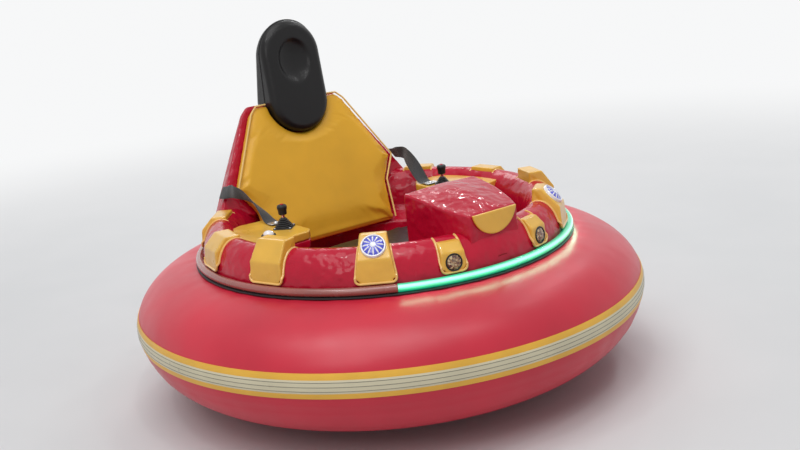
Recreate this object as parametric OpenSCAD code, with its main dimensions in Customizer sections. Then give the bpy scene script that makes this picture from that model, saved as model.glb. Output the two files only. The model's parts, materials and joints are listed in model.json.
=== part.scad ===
// Round spinning bumper car: an inflated tube round a moulded cockpit, on two
// driven wheels and two swivel casters.
// Millimetres, +X forward, +Y to the car's left, +Z up, origin on the ground
// under the centre of the tube.

/* [Bumper tube] */
// Outer diameter of the inflated tube
tube_od = 1800; // [1600:10:2000]
// Half of the tube section's width
tube_half_w = 266; // [240:1:290]
// Height of the tube's widest line above the ground
tube_mid_z = 315; // [290:1:340]
// Rise of the tube's crest above its widest line
tube_rise = 180; // [165:1:200]
// Drop of the tube's underside below its widest line
tube_drop = 235; // [200:1:250]
// Height of the coloured band round the widest line
band_h = 73; // [40:1:100]
// Thickness of the band
band_t = 3; // [2:0.5:5]
// Diameter of the inflation valve's boss
valve_d = 56; // [44:1:70]
// Diameter of the hole that takes the pump's nozzle
valve_bore_d = 19; // [14:0.5:24]

/* [Cockpit shell] */
// How far the cockpit's wall stands inside the middle of the tube's section
tub_inset = 204; // [198:1:214]
// Wall thickness of the moulded shell
shell_t = 6; // [4:0.5:8]
// How far the middle of the collar roll stands inside the middle of the tube's section
collar_inset = 61.5; // [54:0.5:68]
// Half of the collar roll's width
collar_half_w = 72.5; // [66:0.5:76]
// Height of the collar roll above its base
collar_rise = 118; // [100:1:130]
// Height of the cockpit floor's underside
floor_z = 200; // [196:1:215]
// Thickness of the floor pan
floor_t = 6; // [4:0.5:8]

/* [Light ring] */
// Diameter of the light ring's round section
light_d = 22; // [16:1:26]
// Thickness of the channel that carries the light ring
channel_t = 6; // [4:0.5:8]
// Where the lit stretch starts, counted from the nose
lit_from = -32; // [-60:1:-10]
// Where the lit stretch ends, counted from the nose
lit_to = 100; // [40:1:150]

/* [Collar blocks] */
// Width of a block at its foot
block_w = 132; // [110:1:140]
// Width of a headlamp block at its foot
headlamp_block_w = 88; // [80:1:92]
// Width lost on each side by the top of a plain block
block_taper = 10; // [4:1:16]
// Width lost on each side by the top of a signal block
signal_taper = 24; // [14:1:26]
// Bevel along a block's upper edges
block_bevel = 8; // [2:1:12]
// How far a block's foot stands out from the collar
block_proud = 5; // [3:1:8]
// Diameter of a headlamp lens
headlamp_d = 56; // [46:1:62]
// Diameter of a signal lamp's dome
signal_d = 78; // [60:1:84]

/* [Seat] */
// Height of the seat box's top
seat_box_z = 380; // [365:1:400]
// Length of the footwell in front of the seat
footwell_l = 292; // [280:1:300]
// Thickness of the seat cushion
cushion_t = 72; // [50:1:90]
// Lean of the seat back from upright
recline = 21; // [15:0.5:25]
// How far the seat back's face is inside the line of the cockpit's wall, at its reference height
back_inset = 18; // [10:1:40]
// Height at which the seat back's face is measured, above the collar
back_ref_rise = 100; // [80:1:120]
// Thickness of the seat back pad
pad_t = 45; // [30:1:55]
// Width of the seat back pad at its widest
pad_w_low = 704; // [660:2:730]
// Height of the seat back pad's widest line above the collar
pad_wide_rise = 80; // [70:1:100]
// Width of the seat back pad at its top
pad_w_top = 420; // [360:2:480]
// Height of the seat back pad's top
pad_top_z = 975; // [930:5:1000]
// Width of the shell that shows beside the pad's top
shell_edge = 12; // [6:1:20]
// Width of the seat shell at its widest, just above the collar
shell_w_low = 850; // [800:2:870]

/* [Headrest] */
// Width of the headrest
head_w = 250; // [220:1:280]
// Thickness of the headrest at its top
head_t = 60; // [50:1:76]
// Lean of the headrest's face from upright
head_lean = 8; // [4:0.5:12]
// Height of the headrest's lower end
head_low_z = 850; // [820:1:880]
// Height of the headrest's top
head_top_z = 1275; // [1230:1:1290]
// How far the headrest's lower end stands forward of the pad
head_proud = 20; // [12:1:30]
// Diameter of the dish in the headrest's face
dish_d = 150; // [120:1:160]
// How far the dish's middle is below the headrest's top
dish_drop = 150; // [135:1:165]
// Depth of the dish
dish_depth = 26; // [20:1:30]

/* [Controls] */
// How far the armrest tops are below the collar's crest
arm_drop = 16; // [10:1:24]
// Thickness of an armrest pad
arm_t = 28; // [20:1:30]
// How far a joystick is inside the line of the cockpit's wall
stick_inset = 78; // [74:1:86]
// How far forward of the seat back a joystick is
stick_reach = 324; // [312:1:340]
// Height of a joystick above its armrest
stick_h = 78; // [60:1:100]

/* [Nose] */
// Height of the nose's rear corners above the collar
nose_rise = 115; // [104:1:130]
// Width of the nose at its rear
nose_w = 296; // [280:2:330]
// Diameter of the round plate on the nose's front, before its top is cut off
beak_d = 182; // [160:2:188]

/* [Chassis] */
// Outside size of the square chassis tubes
rail = 40; // [30:1:40]
// How far a long rail's middle is inside the cockpit's wall
rail_inset = 240; // [232:1:250]
// How far the end cross members are inside the cockpit's wall
end_inset = 100; // [96:1:110]
// Space behind the batteries, to the cockpit's wall
battery_end_gap = 130; // [120:1:170]
// Space over the batteries, under the seat box's top
battery_head_gap = 8; // [5:1:40]
// Width of one battery
battery_w = 172; // [150:1:176]

/* [Drive wheels] */
// Diameter of a drive wheel
wheel_d = 220; // [200:1:224]
// Width of a drive wheel
wheel_w = 50; // [40:1:56]
// How far a drive wheel's middle is inside the cockpit's wall
wheel_inset = 130; // [124:1:136]
// Diameter of the wheel shaft
shaft_d = 17; // [14:0.5:20]
// Diameter of the drive motor's housing
motor_d = 88; // [70:1:90]
// Distance of a motor's inner end from the centre line
motor_end_y = 65; // [20:1:90]

/* [Casters] */
// Diameter of a caster wheel
caster_d = 110; // [90:1:112]
// Width of a caster wheel
caster_w = 32; // [26:1:36]
// Trail of a caster wheel behind its swivel
caster_trail = 35; // [26:1:38]

/* [Hidden] */

$fn = 64;
ring_fn = 240;
eps = 1;
seat_gap = 0.3;
run_gap = 0.05;
shelf_gap = 2;

red = [0.78, 0.03, 0.12];
yellow = [0.92, 0.68, 0.16];
black = [0.08, 0.08, 0.09];
steel = [0.55, 0.57, 0.6];

tube_r = tube_od / 2;
tube_mid_r = tube_r - tube_half_w;
crest_z = tube_mid_z + tube_rise;
tub_r = tube_mid_r - tub_inset;
tub_out_r = tub_r + shell_t;
tube_in_r = tub_out_r + seat_gap;

collar_mid_r = tube_mid_r - collar_inset;
collar_r = collar_mid_r + collar_half_w;
collar_in_r = collar_mid_r - collar_half_w;
collar_base_z = crest_z + channel_t + 2 * seat_gap;
collar_top_z = collar_base_z + collar_rise;
light_mid_r = collar_r + seat_gap + light_d / 2;
channel_out_r = collar_r + seat_gap + light_d + 2;
channel_in_r = collar_r - shell_t - 2;
arm_z = collar_top_z - arm_drop;
nose_z = collar_top_z + nose_rise;
back_x = tub_r - back_inset;
back_ref_z = collar_top_z + back_ref_rise;
seat_box_x = tub_r - footwell_l;

// A point of the tube's oval section, moved out by gap; 0 degrees is the outer side
function tube_point(a, gap = 0) =
  let (rise = a < 180 ? tube_rise : tube_drop,
       nx = cos(a) / tube_half_w, nz = sin(a) / rise, n = norm([nx, nz]))
  [tube_mid_r + tube_half_w * cos(a) + gap * nx / n,
   tube_mid_z + rise * sin(a) + gap * nz / n];

// The same oval pressed flat where it meets the tub's wall
function pressed(p) = [max(p[0], tube_in_r), p[1]];

module tube_section(gap = 0) {
  polygon([for (a = [0:7.5:352.5]) pressed(tube_point(a, gap))]);
}

// Height of the collar roll's upper surface at radius r, moved out by gap
function collar_z(r, gap = 0) =
  let (u = min(abs(r - collar_mid_r) / (collar_half_w + gap), 1))
  collar_base_z + (collar_rise + gap) * sqrt(1 - u * u);

// Moves each point of a path by t to its left
function offset_path(path, t) = [
  for (i = [0:len(path) - 1])
    let (a = path[max(i - 1, 0)], b = path[min(i + 1, len(path) - 1)],
         d = (b - a) / norm(b - a))
    path[i] + t * [-d[1], d[0]]
];

function reversed(list) = [for (i = [len(list) - 1:-1:0]) list[i]];

// Where the tube's oval has radius r, on its inner upper quarter
function tube_angle(r) = acos((r - tube_mid_r) / tube_half_w);

// The shell's outside from the collar's foot, over the roll, down the tube's
// inner shoulder and down the tub
shelf_z = collar_base_z - 24;
shelf_from = tube_angle(collar_in_r - shell_t);
shelf_to = tube_angle(tube_in_r);
shelf_points = [
  for (i = [0:4]) tube_point(shelf_from + (shelf_to - shelf_from) * i / 4, shell_t + shelf_gap)
];
shell_path = concat(
  [for (a = [0:9:180]) [collar_mid_r + collar_half_w * cos(a), collar_base_z + collar_rise * sin(a)]],
  [[collar_in_r, collar_base_z - 10]],
  shelf_points,
  [[tub_r, shelf_points[4][1] - shell_t],
   [tub_r, floor_z]]
);

// Everything outside the tub's wall and under the collar's surface, with the seating gap
module shell_cut() {
  rotate_extrude($fn = ring_fn)
    polygon(concat(
      offset_path(shell_path, -seat_gap),
      [[tub_r - seat_gap, floor_z - eps], [collar_r + seat_gap, floor_z - eps]]
    ));
}

// Bumper tube

module bumper_tube() {
  color(red) rotate_extrude($fn = ring_fn) tube_section();
}

module tube_band() {
  half = asin(min(band_h / 2 / tube_rise, 0.9));
  low = asin(min(band_h / 2 / tube_drop, 0.9));
  steps = 8;
  angles = [for (i = [0:steps]) -low + (half + low) * i / steps];
  color(yellow)
    rotate_extrude($fn = ring_fn)
      polygon(concat(
        [for (a = angles) band_point(a, seat_gap)],
        [for (a = reversed(angles)) band_point(a, band_t)]
      ));
}

function band_point(a, gap) = tube_point(a < 0 ? a + 360 : a, gap);

valve_angle = 35;
valve_at = tube_point(valve_angle);
valve_h = 14;
valve_floor = 2;

module air_valve() {
  color(black)
    rotate([0, 0, 180])
      difference() {
        translate([valve_at[0], 0, valve_at[1]])
          rotate([0, 90 - valve_angle * 1.2, 0])
            difference() {
              translate([0, 0, -12]) cylinder(d = valve_d, h = 12 + valve_h);
              translate([0, 0, valve_floor]) cylinder(d = valve_bore_d, h = valve_h);
            }
        rotate_extrude($fn = ring_fn) tube_section(seat_gap);
      }
}

// Light ring

module light_arc(from, to) {
  translate([0, 0, crest_z + channel_t + 2 * seat_gap + light_d / 2])
    rotate([0, 0, from])
      rotate_extrude(angle = to - from, $fn = ring_fn)
        translate([light_mid_r, 0]) circle(d = light_d, $fn = 32);
}

module light_ring_lit() {
  color([0.1, 0.75, 0.5]) light_arc(lit_from, lit_to);
}

module light_ring_dark() {
  color([0.4, 0.14, 0.1]) light_arc(lit_to + 0.1, 360 + lit_from - 0.1);
}

module light_channel() {
  color([0.3, 0.08, 0.06])
    translate([0, 0, crest_z + seat_gap])
      difference() {
        cylinder(r = channel_out_r, h = channel_t, $fn = ring_fn);
        translate([0, 0, -eps]) cylinder(r = channel_in_r, h = channel_t + 2 * eps, $fn = ring_fn);
      }
}

// Cockpit shell

module body_shell() {
  color(red)
    rotate_extrude($fn = ring_fn)
      polygon(concat(shell_path, reversed(offset_path(shell_path, shell_t))));
}

wheel_y = tub_r - wheel_inset;
cutout_x = wheel_d / 2 + 16;
cutout_y = wheel_w / 2 + 12;

module floor_pan() {
  color([0.2, 0.2, 0.22])
    translate([0, 0, floor_z + seat_gap])
      difference() {
        cylinder(r = tub_r - seat_gap, h = floor_t, $fn = ring_fn);
        for (side = [-1, 1])
          translate([-cutout_x, side * wheel_y - cutout_y, -eps])
            cube([2 * cutout_x, 2 * cutout_y, floor_t + 2 * eps]);
      }
}

// Collar blocks. Columns: angle from the nose, height of the outer face, run and
// rise of the sloping face above it, radius of the inner end, width at the foot,
// width lost on each side by the top.
angle = 0;
face_h = 1;
run = 2;
climb = 3;
inner_r = 4;
foot_w = 5;
taper = 6;
block_in_r = collar_mid_r - 27.5;
headlamp_rows = [[16, light_d + headlamp_d + 6, 26, 26, collar_mid_r + 2.5, headlamp_block_w, 7]];
signal_rows = [[37.5, 96, 62, 62, block_in_r, block_w, signal_taper]];
plain_rows = [
  [70, 88, 42, 62, block_in_r, block_w, block_taper],
  [98.5, 84, 40, 42, block_in_r, block_w, block_taper],
  [129, 84, 40, 42, block_in_r, block_w, block_taper]
];
face_lean = 6;
block_foot_r = collar_r + block_proud;
block_foot_z = collar_base_z + light_d + 2;

module block(row) {
  face_top_z = collar_base_z + row[face_h];
  top_z = face_top_z + row[climb];
  top_r = block_foot_r - face_lean - row[run];
  half_w = row[foot_w] / 2;
  top_w = half_w - row[taper];
  rotate([0, 0, row[angle]])
    difference() {
      intersection() {
        rotate([90, 0, 0])
          translate([0, 0, -half_w])
            linear_extrude(2 * half_w)
              polygon([
                [row[inner_r], collar_base_z],
                [block_foot_r, collar_base_z],
                [block_foot_r, block_foot_z],
                [block_foot_r - face_lean, face_top_z],
                [top_r, top_z],
                [row[inner_r] + 8, top_z],
                [row[inner_r], top_z - 8]
              ]);
        rotate([90, 0, 90])
          linear_extrude(block_foot_r + eps)
            polygon([
              [-half_w, collar_base_z],
              [half_w, collar_base_z],
              [half_w, block_foot_z],
              [top_w, top_z - block_bevel],
              [top_w - block_bevel, top_z],
              [-top_w + block_bevel, top_z],
              [-top_w, top_z - block_bevel],
              [-half_w, block_foot_z]
            ]);
      }
      shell_cut();
      light_clear();
    }
}

module light_clear() {
  // Room for the light ring below a block's foot
  rotate_extrude($fn = ring_fn)
    translate([collar_r, collar_base_z - eps])
      square([block_proud + 10, light_d + eps + seat_gap]);
}

// Where a block stands, with the seating gap, for pieces that fit round it
module block_room(row) {
  rotate([0, 0, row[angle]])
    translate([row[inner_r] - seat_gap, -row[foot_w] / 2 - seat_gap, collar_base_z])
      cube([block_foot_r, row[foot_w] + 2 * seat_gap, row[face_h] + row[climb] + seat_gap]);
}

module both_sides() {
  children();
  mirror([0, 1, 0]) children();
}

module collar_blocks() {
  color(yellow) both_sides() for (row = plain_rows) block(row);
}

module signal_blocks() {
  color(yellow) both_sides() for (row = signal_rows) block(row);
}

headlamp_depth = 9;

module headlamp_axis(row) {
  // The middle of the outer face, looking out along its normal
  face_mid_z = (block_foot_z + collar_base_z + row[face_h]) / 2;
  lean = atan(face_lean / (collar_base_z + row[face_h] - block_foot_z));
  rotate([0, 0, row[angle]])
    translate([block_foot_r - face_lean / 2, 0, face_mid_z])
      rotate([0, 90 - lean, 0])
        children();
}

module headlamp_blocks() {
  color(yellow)
    both_sides()
      for (row = headlamp_rows)
        difference() {
          block(row);
          headlamp_axis(row)
            translate([0, 0, -headlamp_depth])
              cylinder(d = headlamp_d, h = headlamp_depth + 4);
        }
}

module headlamp_lenses() {
  color([0.3, 0.16, 0.12])
    both_sides()
      for (row = headlamp_rows)
        difference() {
          headlamp_axis(row)
            translate([0, 0, -headlamp_depth + seat_gap])
              dome(headlamp_d - 2 * seat_gap, headlamp_depth - seat_gap, 5);
          shell_cut();
        }
}

// A short cylinder with a shallow spherical cap
module dome(d, base_h, cap_h) {
  cap_r = (d * d / 4 + cap_h * cap_h) / (2 * cap_h);
  intersection() {
    cylinder(d = d, h = base_h + cap_h + eps);
    translate([0, 0, base_h + cap_h - cap_r]) sphere(r = cap_r);
    cylinder(d = d, h = base_h + cap_h);
  }
}

module signal_domes() {
  color([0.3, 0.35, 0.8])
    both_sides()
      for (row = signal_rows)
        rotate([0, 0, row[angle]])
          translate([block_foot_r - face_lean - row[run] / 2, 0,
                     collar_base_z + row[face_h] + row[climb] / 2])
            rotate([0, atan(row[climb] / row[run]), 0])
              translate([0, 0, seat_gap]) dome(signal_d, 5, 16);
}

// Nose cowl. Columns: distance inside the collar's outer edge, half width,
// height at the edge, height at the middle.
nose_half_w = nose_w / 2;
nose_sections = [
  [294, nose_half_w, nose_z, nose_z + 4],
  [235, nose_half_w - 4, nose_z - 9, nose_z + 3],
  [175, nose_half_w - 10, nose_z - 20, nose_z - 6],
  [120, nose_half_w - 21, nose_z - 33, nose_z - 20],
  [75, nose_half_w - 35, nose_z - 42, nose_z - 34],
  [48, nose_half_w - 46, nose_z - 47, nose_z - 43],
  [41, nose_half_w - 49, nose_z - 49, nose_z - 46],
  [34, nose_half_w - 50, nose_z - 54, nose_z - 52],
  [32, nose_half_w - 54, nose_z - 139, nose_z - 137],
  [17, nose_half_w - 82, nose_z - 162, nose_z - 153],
  [4, nose_half_w - 123, nose_z - 188, nose_z - 182]
];
nose_insets = concat(
  [294, 264, 235, 205, 175],
  [for (d = [155:-8:43]) d],
  [41, 37, 34, 32, 27, 22, 17, 13, 9, 6, 4]
);
nose_under_z = collar_base_z + 58;
nose_gap = 1;

function nose_column(d, c) = lookup(-d, [for (row = nose_sections) [-row[0], row[c]]]);

// Height over the width of one section; u runs from -1 to 1
function nose_top(d, u) =
  let (edge = nose_column(d, 2), mid = nose_column(d, 3))
  mid + (edge - mid) * (0.5 - 0.5 * cos(180 * u));

// The underside lies on the collar roll and runs level over the cockpit
function nose_bottom(x, y) =
  let (r = norm([x, y]))
  r < collar_mid_r ? max(collar_z(r, nose_gap), nose_under_z) : collar_z(r, nose_gap);

nose_cols = 14;
function nose_ring(d) =
  let (half = nose_column(d, 1), x = collar_r - d)
  concat(
    [for (i = [0:nose_cols]) let (u = -1 + 2 * i / nose_cols) [x, u * half, nose_top(d, u)]],
    [for (i = [0:nose_cols]) let (u = 1 - 2 * i / nose_cols) [x, u * half, nose_bottom(x, u * half)]]
  );

// A closed skin through rings of equal length
module loft(rings) {
  n = len(rings[0]);
  m = len(rings);
  polyhedron(
    points = [for (ring = rings) each ring],
    faces = concat(
      [[for (i = [0:n - 1]) i]],
      [for (j = [0:m - 2], i = [0:n - 1])
        let (k = (i + 1) % n)
        each [[j * n + i, (j + 1) * n + i, (j + 1) * n + k], [j * n + i, (j + 1) * n + k, j * n + k]]],
      [[for (i = [n - 1:-1:0]) (m - 1) * n + i]]
    )
  );
}

module nose_cowl() {
  color(red) loft([for (d = nose_insets) nose_ring(d)]);
}

beak_t = 8;
beak_z = nose_z - 50;
beak_mid_z = beak_z + 0.1 * beak_d;
beak_x = collar_r - 32.4 + seat_gap;

module nose_beak() {
  color(yellow)
    intersection() {
      translate([beak_x, 0, beak_mid_z]) rotate([0, 90, 0]) cylinder(d = beak_d, h = beak_t);
      translate([0, -beak_d / 2, beak_z - beak_d]) cube([beak_x + beak_t, beak_d, beak_d]);
    }
}

// Seat

module seat_box() {
  color(red)
    difference() {
      intersection() {
        translate([0, 0, floor_z + floor_t + 2 * seat_gap])
          cylinder(r = tub_r - seat_gap, h = seat_box_z - floor_z - floor_t - 2 * seat_gap, $fn = ring_fn);
        translate([-tub_r, -tub_r, floor_z]) cube([tub_r + seat_box_x, 2 * tub_r, seat_box_z]);
      }
      intersection() {
        translate([0, 0, floor_z])
          cylinder(r = tub_r - seat_gap - shell_t, h = seat_box_z - floor_z - shell_t, $fn = ring_fn);
        translate([-tub_r, -tub_r, floor_z])
          cube([tub_r + seat_box_x - shell_t, 2 * tub_r, seat_box_z]);
      }
    }
}

cushion_half_w = tub_r - 145;
cushion_z = seat_box_z + seat_gap;
cushion_top_z = cushion_z + cushion_t;

// Stands children in the seat back's own frame: X out of its face, Z up along it,
// with the origin on the face at the reference height
module back_frame() {
  translate([-back_x, 0, back_ref_z]) rotate([0, -recline, 0]) children();
}

// Distance along the seat back for a height above the ground
function along_back(z) = (z - back_ref_z) / cos(recline);

// Where the seat back's face is at a height above the ground
function back_face_x(z) = -back_x - (z - back_ref_z) * tan(recline);

module seat_cushion() {
  color(black)
    translate([0, 0, cushion_z])
      linear_extrude(cushion_t)
        polygon([
          [back_face_x(cushion_z) + seat_gap + 30, -cushion_half_w + 30],
          [back_face_x(cushion_z) + seat_gap + 60, -cushion_half_w],
          [seat_box_x - 40, -cushion_half_w],
          [seat_box_x - 6, -cushion_half_w + 34],
          [seat_box_x - 6, cushion_half_w - 34],
          [seat_box_x - 40, cushion_half_w],
          [back_face_x(cushion_z) + seat_gap + 60, cushion_half_w],
          [back_face_x(cushion_z) + seat_gap + 30, cushion_half_w - 30]
        ]);
}

pad_low_z = cushion_top_z + 6;
pad_wide_z = collar_top_z + pad_wide_rise;
pad_inner_w = 2 * (tub_r - 150);
shell_wide_z = collar_top_z + 12;

// Outline of the seat back, seen from the front: half its greatest width and the
// height of that, half its top, height of its top, height of the corner below, and
// height of its lower end
module back_outline(half, wide_z, half_top, top_z, in_z, low_z) {
  inner = pad_inner_w / 2;
  polygon([
    [-inner, along_back(low_z)], [inner, along_back(low_z)],
    [inner + 14, along_back(in_z)], [half, along_back(wide_z)],
    [half_top, along_back(top_z - 26)], [half_top - 30, along_back(top_z)],
    [-half_top + 30, along_back(top_z)], [-half_top, along_back(top_z - 26)],
    [-half, along_back(wide_z)], [-inner - 14, along_back(in_z)]
  ]);
}

// A plate in the seat back's plane, from depth x0 to x1 in front of the face
module back_plate(x0, x1) {
  translate([x0, 0, 0]) rotate([90, 0, 90]) linear_extrude(x1 - x0) children();
}

// The headrest stands more upright than the seat back. It is rounded at both ends,
// seen from the front, and its back swells down to the top of the seat shell.
shell_rear_top_r = collar_r - 41;
shell_top_z = pad_top_z + shell_edge;
shell_top_half_w = pad_w_top / 2 + shell_edge;
head_h = head_top_z - head_low_z;
head_low_x = back_face_x(head_low_z) + head_proud;
head_back_x = -shell_rear_top_r - 20;

// Where the headrest's face is at a height above the ground
function head_face_x(z) = head_low_x - (z - head_low_z) * tan(head_lean);

module head_body(gap = 0) {
  w = head_w + 2 * gap;
  h = head_h + 2 * gap;
  intersection() {
    rotate([90, 0, 90])
      translate([0, 0, head_back_x - 50])
        linear_extrude(2 * head_h) {
          translate([0, head_top_z + gap - w / 2]) circle(d = w);
          translate([0, head_low_z - gap + w / 2]) circle(d = w);
          translate([-w / 2, head_low_z - gap + w / 2]) square([w, h - w]);
        }
    rotate([90, 0, 0])
      translate([0, 0, -w])
        linear_extrude(2 * w)
          polygon([
            [head_face_x(head_low_z - gap) + gap, head_low_z - gap],
            [head_face_x(head_top_z + gap) + gap, head_top_z + gap],
            [head_face_x(head_top_z) - head_t - gap, head_top_z + gap],
            [head_back_x - gap, shell_top_z - 20],
            [head_back_x + 50 - gap, head_low_z - gap]
          ]);
  }
}

module seat_back_pad() {
  color(yellow)
    difference() {
      back_frame()
        back_plate(-pad_t, 0)
          back_outline(pad_w_low / 2, pad_wide_z, pad_w_top / 2, pad_top_z, pad_wide_z - 90, pad_low_z);
      head_body(seat_gap);
      shell_cut();
      both_sides() block_room(plain_rows[2]);
    }
}

// Height and radius of the seat shell's round back
shell_rear = [
  [collar_base_z + light_d + 4, collar_r - 1],
  [collar_top_z, collar_r - 4],
  [collar_top_z + 220, shell_rear_top_r + 14],
  [shell_top_z + 20, shell_rear_top_r]
];

module seat_shell() {
  color(red)
    difference() {
      intersection() {
        rotate_extrude($fn = ring_fn)
          polygon(concat(
            [[0, shell_rear[0][0]]],
            [for (p = shell_rear) [p[1], p[0]]],
            [[0, shell_rear[3][0]]]
          ));
        back_frame()
          back_plate(-400, -pad_t - seat_gap)
            back_outline(shell_w_low / 2, shell_wide_z, shell_top_half_w, shell_top_z,
                         shell_wide_z - 30, collar_base_z + light_d);
      }
      head_body(seat_gap);
      shell_cut();
      both_sides() block_room(plain_rows[2]);
      cylinder(r = collar_in_r + 8, h = collar_top_z - 30, $fn = ring_fn);
      charge_socket_room();
    }
}

module headrest() {
  color(black)
    difference() {
      head_body();
      dish_seat() cylinder(d = dish_d, h = dish_depth + 20);
    }
}

dish_z = head_top_z - dish_drop;

// The floor of the dish's round seat in the headrest's face, looking out
module dish_seat() {
  translate([head_face_x(dish_z), 0, dish_z])
    rotate([0, 90 - head_lean, 0])
      translate([0, 0, -dish_depth]) children();
}

module headrest_dish() {
  color([0.2, 0.2, 0.21])
    dish_seat()
      difference() {
        translate([0, 0, seat_gap]) cylinder(d = dish_d - 2 * seat_gap, h = dish_depth - 2);
        translate([0, 0, dish_d * 0.62]) sphere(d = dish_d * 1.14);
      }
}

// Half width of the seat shell at a height above the ground
function shell_half_w(z) =
  lookup(z, [[shell_wide_z, shell_w_low / 2], [shell_top_z - 26, shell_top_half_w]]);

// Lap belt: a flat strap through a few hand-placed points, first round the seat
// shell's edge and then down to the armrest. Columns: distance forward of the seat
// back, distance outside the shell's side or the cockpit's wall, height above the
// armrest, how far the strap is tipped up on its outer edge.
belt_w = 48;
belt_t = 4;
belt_shell_rows = [[-50, 5, 86, 124], [-18, 4, 90, 120], [12, 1, 96, 106]];
belt_arm_rows = [
  [44, -44, 96, 86], [80, -56, 88, 68], [116, -66, 72, 50], [150, -74, 51, 34],
  [180, -80, 27, 18], [206, -83, 7, 6], [232, -84, 0, 0], [268, -84, 0, 0]
];
belt_rows = concat(belt_shell_rows, belt_arm_rows);
belt_points = concat(
  [for (row = belt_shell_rows)
    let (z = arm_z + seat_gap + row[2]) [row[0] - back_x, -shell_half_w(z) - row[1], z]],
  [for (row = belt_arm_rows) [row[0] - back_x, -tub_r - row[1], arm_z + seat_gap + row[2]]]
);

// One end of the strap's section at each point: along its path, across and out of its flat
function belt_ring(i) =
  let (last = len(belt_points) - 1,
       d = belt_points[min(i + 1, last)] - belt_points[max(i - 1, 0)],
       along = d / norm(d),
       level = cross(along, [0, 0, 1]) / norm(cross(along, [0, 0, 1])),
       up = cross(level, along),
       tip = belt_rows[i][3],
       side = level * cos(tip) + up * sin(tip),
       out = up * cos(tip) - level * sin(tip),
       p = belt_points[i])
  [p - side * belt_w / 2, p + side * belt_w / 2,
   p + side * belt_w / 2 + out * belt_t, p - side * belt_w / 2 + out * belt_t];

module lap_belt_right() {
  color(black) loft([for (i = [0:len(belt_rows) - 1]) belt_ring(i)]);
}

module lap_belt_left() {
  mirror([0, 1, 0]) lap_belt_right();
}

// Consoles and armrests. Outline of the right-hand one, seen from above: distance
// forward of the seat back, distance outside the cockpit's wall.
arm_points = [
  [157, -85], [205, -118], [352, -126], [415, -126], [444, -104], [450, -30],
  [446, 40], [430, 115], [322, 138], [192, 90], [150, 10]
];
arm_outline = [for (p = arm_points) [p[0] - back_x, -tub_r - p[1]]];

module console(side) {
  color(red)
    mirror([0, side > 0 ? 1 : 0, 0])
      difference() {
        intersection() {
          cylinder(r = plain_rows[0][inner_r] - seat_gap, h = arm_z, $fn = ring_fn);
          translate([0, 0, floor_z])
            linear_extrude(arm_z - arm_t - seat_gap - floor_z) polygon(arm_outline);
          rotate([90, 0, 90])
            translate([0, 0, -tub_r])
              linear_extrude(2 * tub_r)
                polygon([
                  [-collar_mid_r, arm_z], [-tub_r / 2, arm_z],
                  [-tub_r + 100, arm_z - arm_t - 30], [-collar_in_r + 20, shelf_z + 16],
                  [-collar_mid_r, shelf_z + 16]
                ]);
        }
        shell_cut();
      }
}

module console_right() {
  console(-1);
}

module console_left() {
  console(1);
}

module armrest(side) {
  color(yellow)
    mirror([0, side > 0 ? 1 : 0, 0])
      difference() {
        translate([0, 0, arm_z - arm_t]) linear_extrude(arm_t) polygon(arm_outline);
        shell_cut();
        mirror([0, 1, 0]) for (row = plain_rows) block_room(row);
      }
}

module armrest_right() {
  armrest(-1);
}

module armrest_left() {
  armrest(1);
}

plate_half = 46;
plate_t = 4;
stick_x = stick_reach - back_x;
stick_y = tub_r - stick_inset;

module at_sticks() {
  for (side = [-1, 1]) translate([stick_x, side * stick_y, arm_z + seat_gap]) children();
}

module joystick_plates() {
  color(black)
    at_sticks() linear_extrude(plate_t) circle(r = plate_half, $fn = 4);
}

module joystick(side) {
  color([0.12, 0.12, 0.13])
    translate([stick_x, side * stick_y, arm_z + 2 * seat_gap + plate_t])
      rotate_extrude()
        polygon([
          [0, 0], [26, 0], [26, 4], [20, 8], [22, 12], [15, 16], [17, 20], [8, 25],
          [7, stick_h - 34], [13, stick_h - 30], [17, stick_h - 16], [14, stick_h - 4],
          [8, stick_h], [0, stick_h]
        ]);
}

module joystick_right() {
  joystick(-1);
}

module joystick_left() {
  joystick(1);
}

button_x = stick_x + 53;
button_y = tub_r + 14;
button_d = 50;

module at_buttons() {
  for (side = [-1, 1]) translate([button_x, side * button_y, arm_z + seat_gap]) children();
}

module console_bezels() {
  color(black)
    at_buttons()
      difference() {
        cylinder(d = button_d, h = 6);
        translate([0, 0, -eps]) cylinder(d = button_d - 12, h = 6 + 2 * eps);
      }
}

module console_domes() {
  color([0.93, 0.93, 0.94]) at_buttons() dome(button_d - 12 - 2 * seat_gap, 6, 14);
}

// Charging socket on the back of the seat shell
socket_z = collar_top_z + 80;
socket_d = 48;
socket_bore_d = 24;
socket_l = 26;
socket_proud = 8;
socket_lean = atan((shell_rear[1][1] - shell_rear[2][1]) / (shell_rear[2][0] - shell_rear[1][0]));

// The socket's seat on the shell, looking straight out of it
module socket_axis() {
  translate([-lookup(socket_z, shell_rear), 0, socket_z]) rotate([0, -90 + socket_lean, 0]) children();
}

module charge_socket_room() {
  socket_axis() translate([0, 0, socket_proud - socket_l - seat_gap]) cylinder(d = socket_d + 2 * seat_gap, h = 60);
}

module charge_socket() {
  color(black)
    socket_axis()
      translate([0, 0, socket_proud - socket_l])
        difference() {
          cylinder(d = socket_d, h = socket_l);
          translate([0, 0, 4]) cylinder(d = socket_bore_d, h = socket_l);
        }
}

// Chassis

clamp_from = 360 - tube_angle(tube_in_r);
clamp_to = clamp_from + 14;
clamp_t = 4;
clamp_gap = 0.5;
clamp_band_t = 5;
clamp_in_r = tub_out_r - clamp_band_t;
clamp_angles = [for (i = [0:5]) clamp_from + (clamp_to - clamp_from) * i / 5];
rail_z = floor_z - rail;
rail_y = tub_r - rail_inset;
end_x = tub_r - end_inset;
middle_x = 150;

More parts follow.
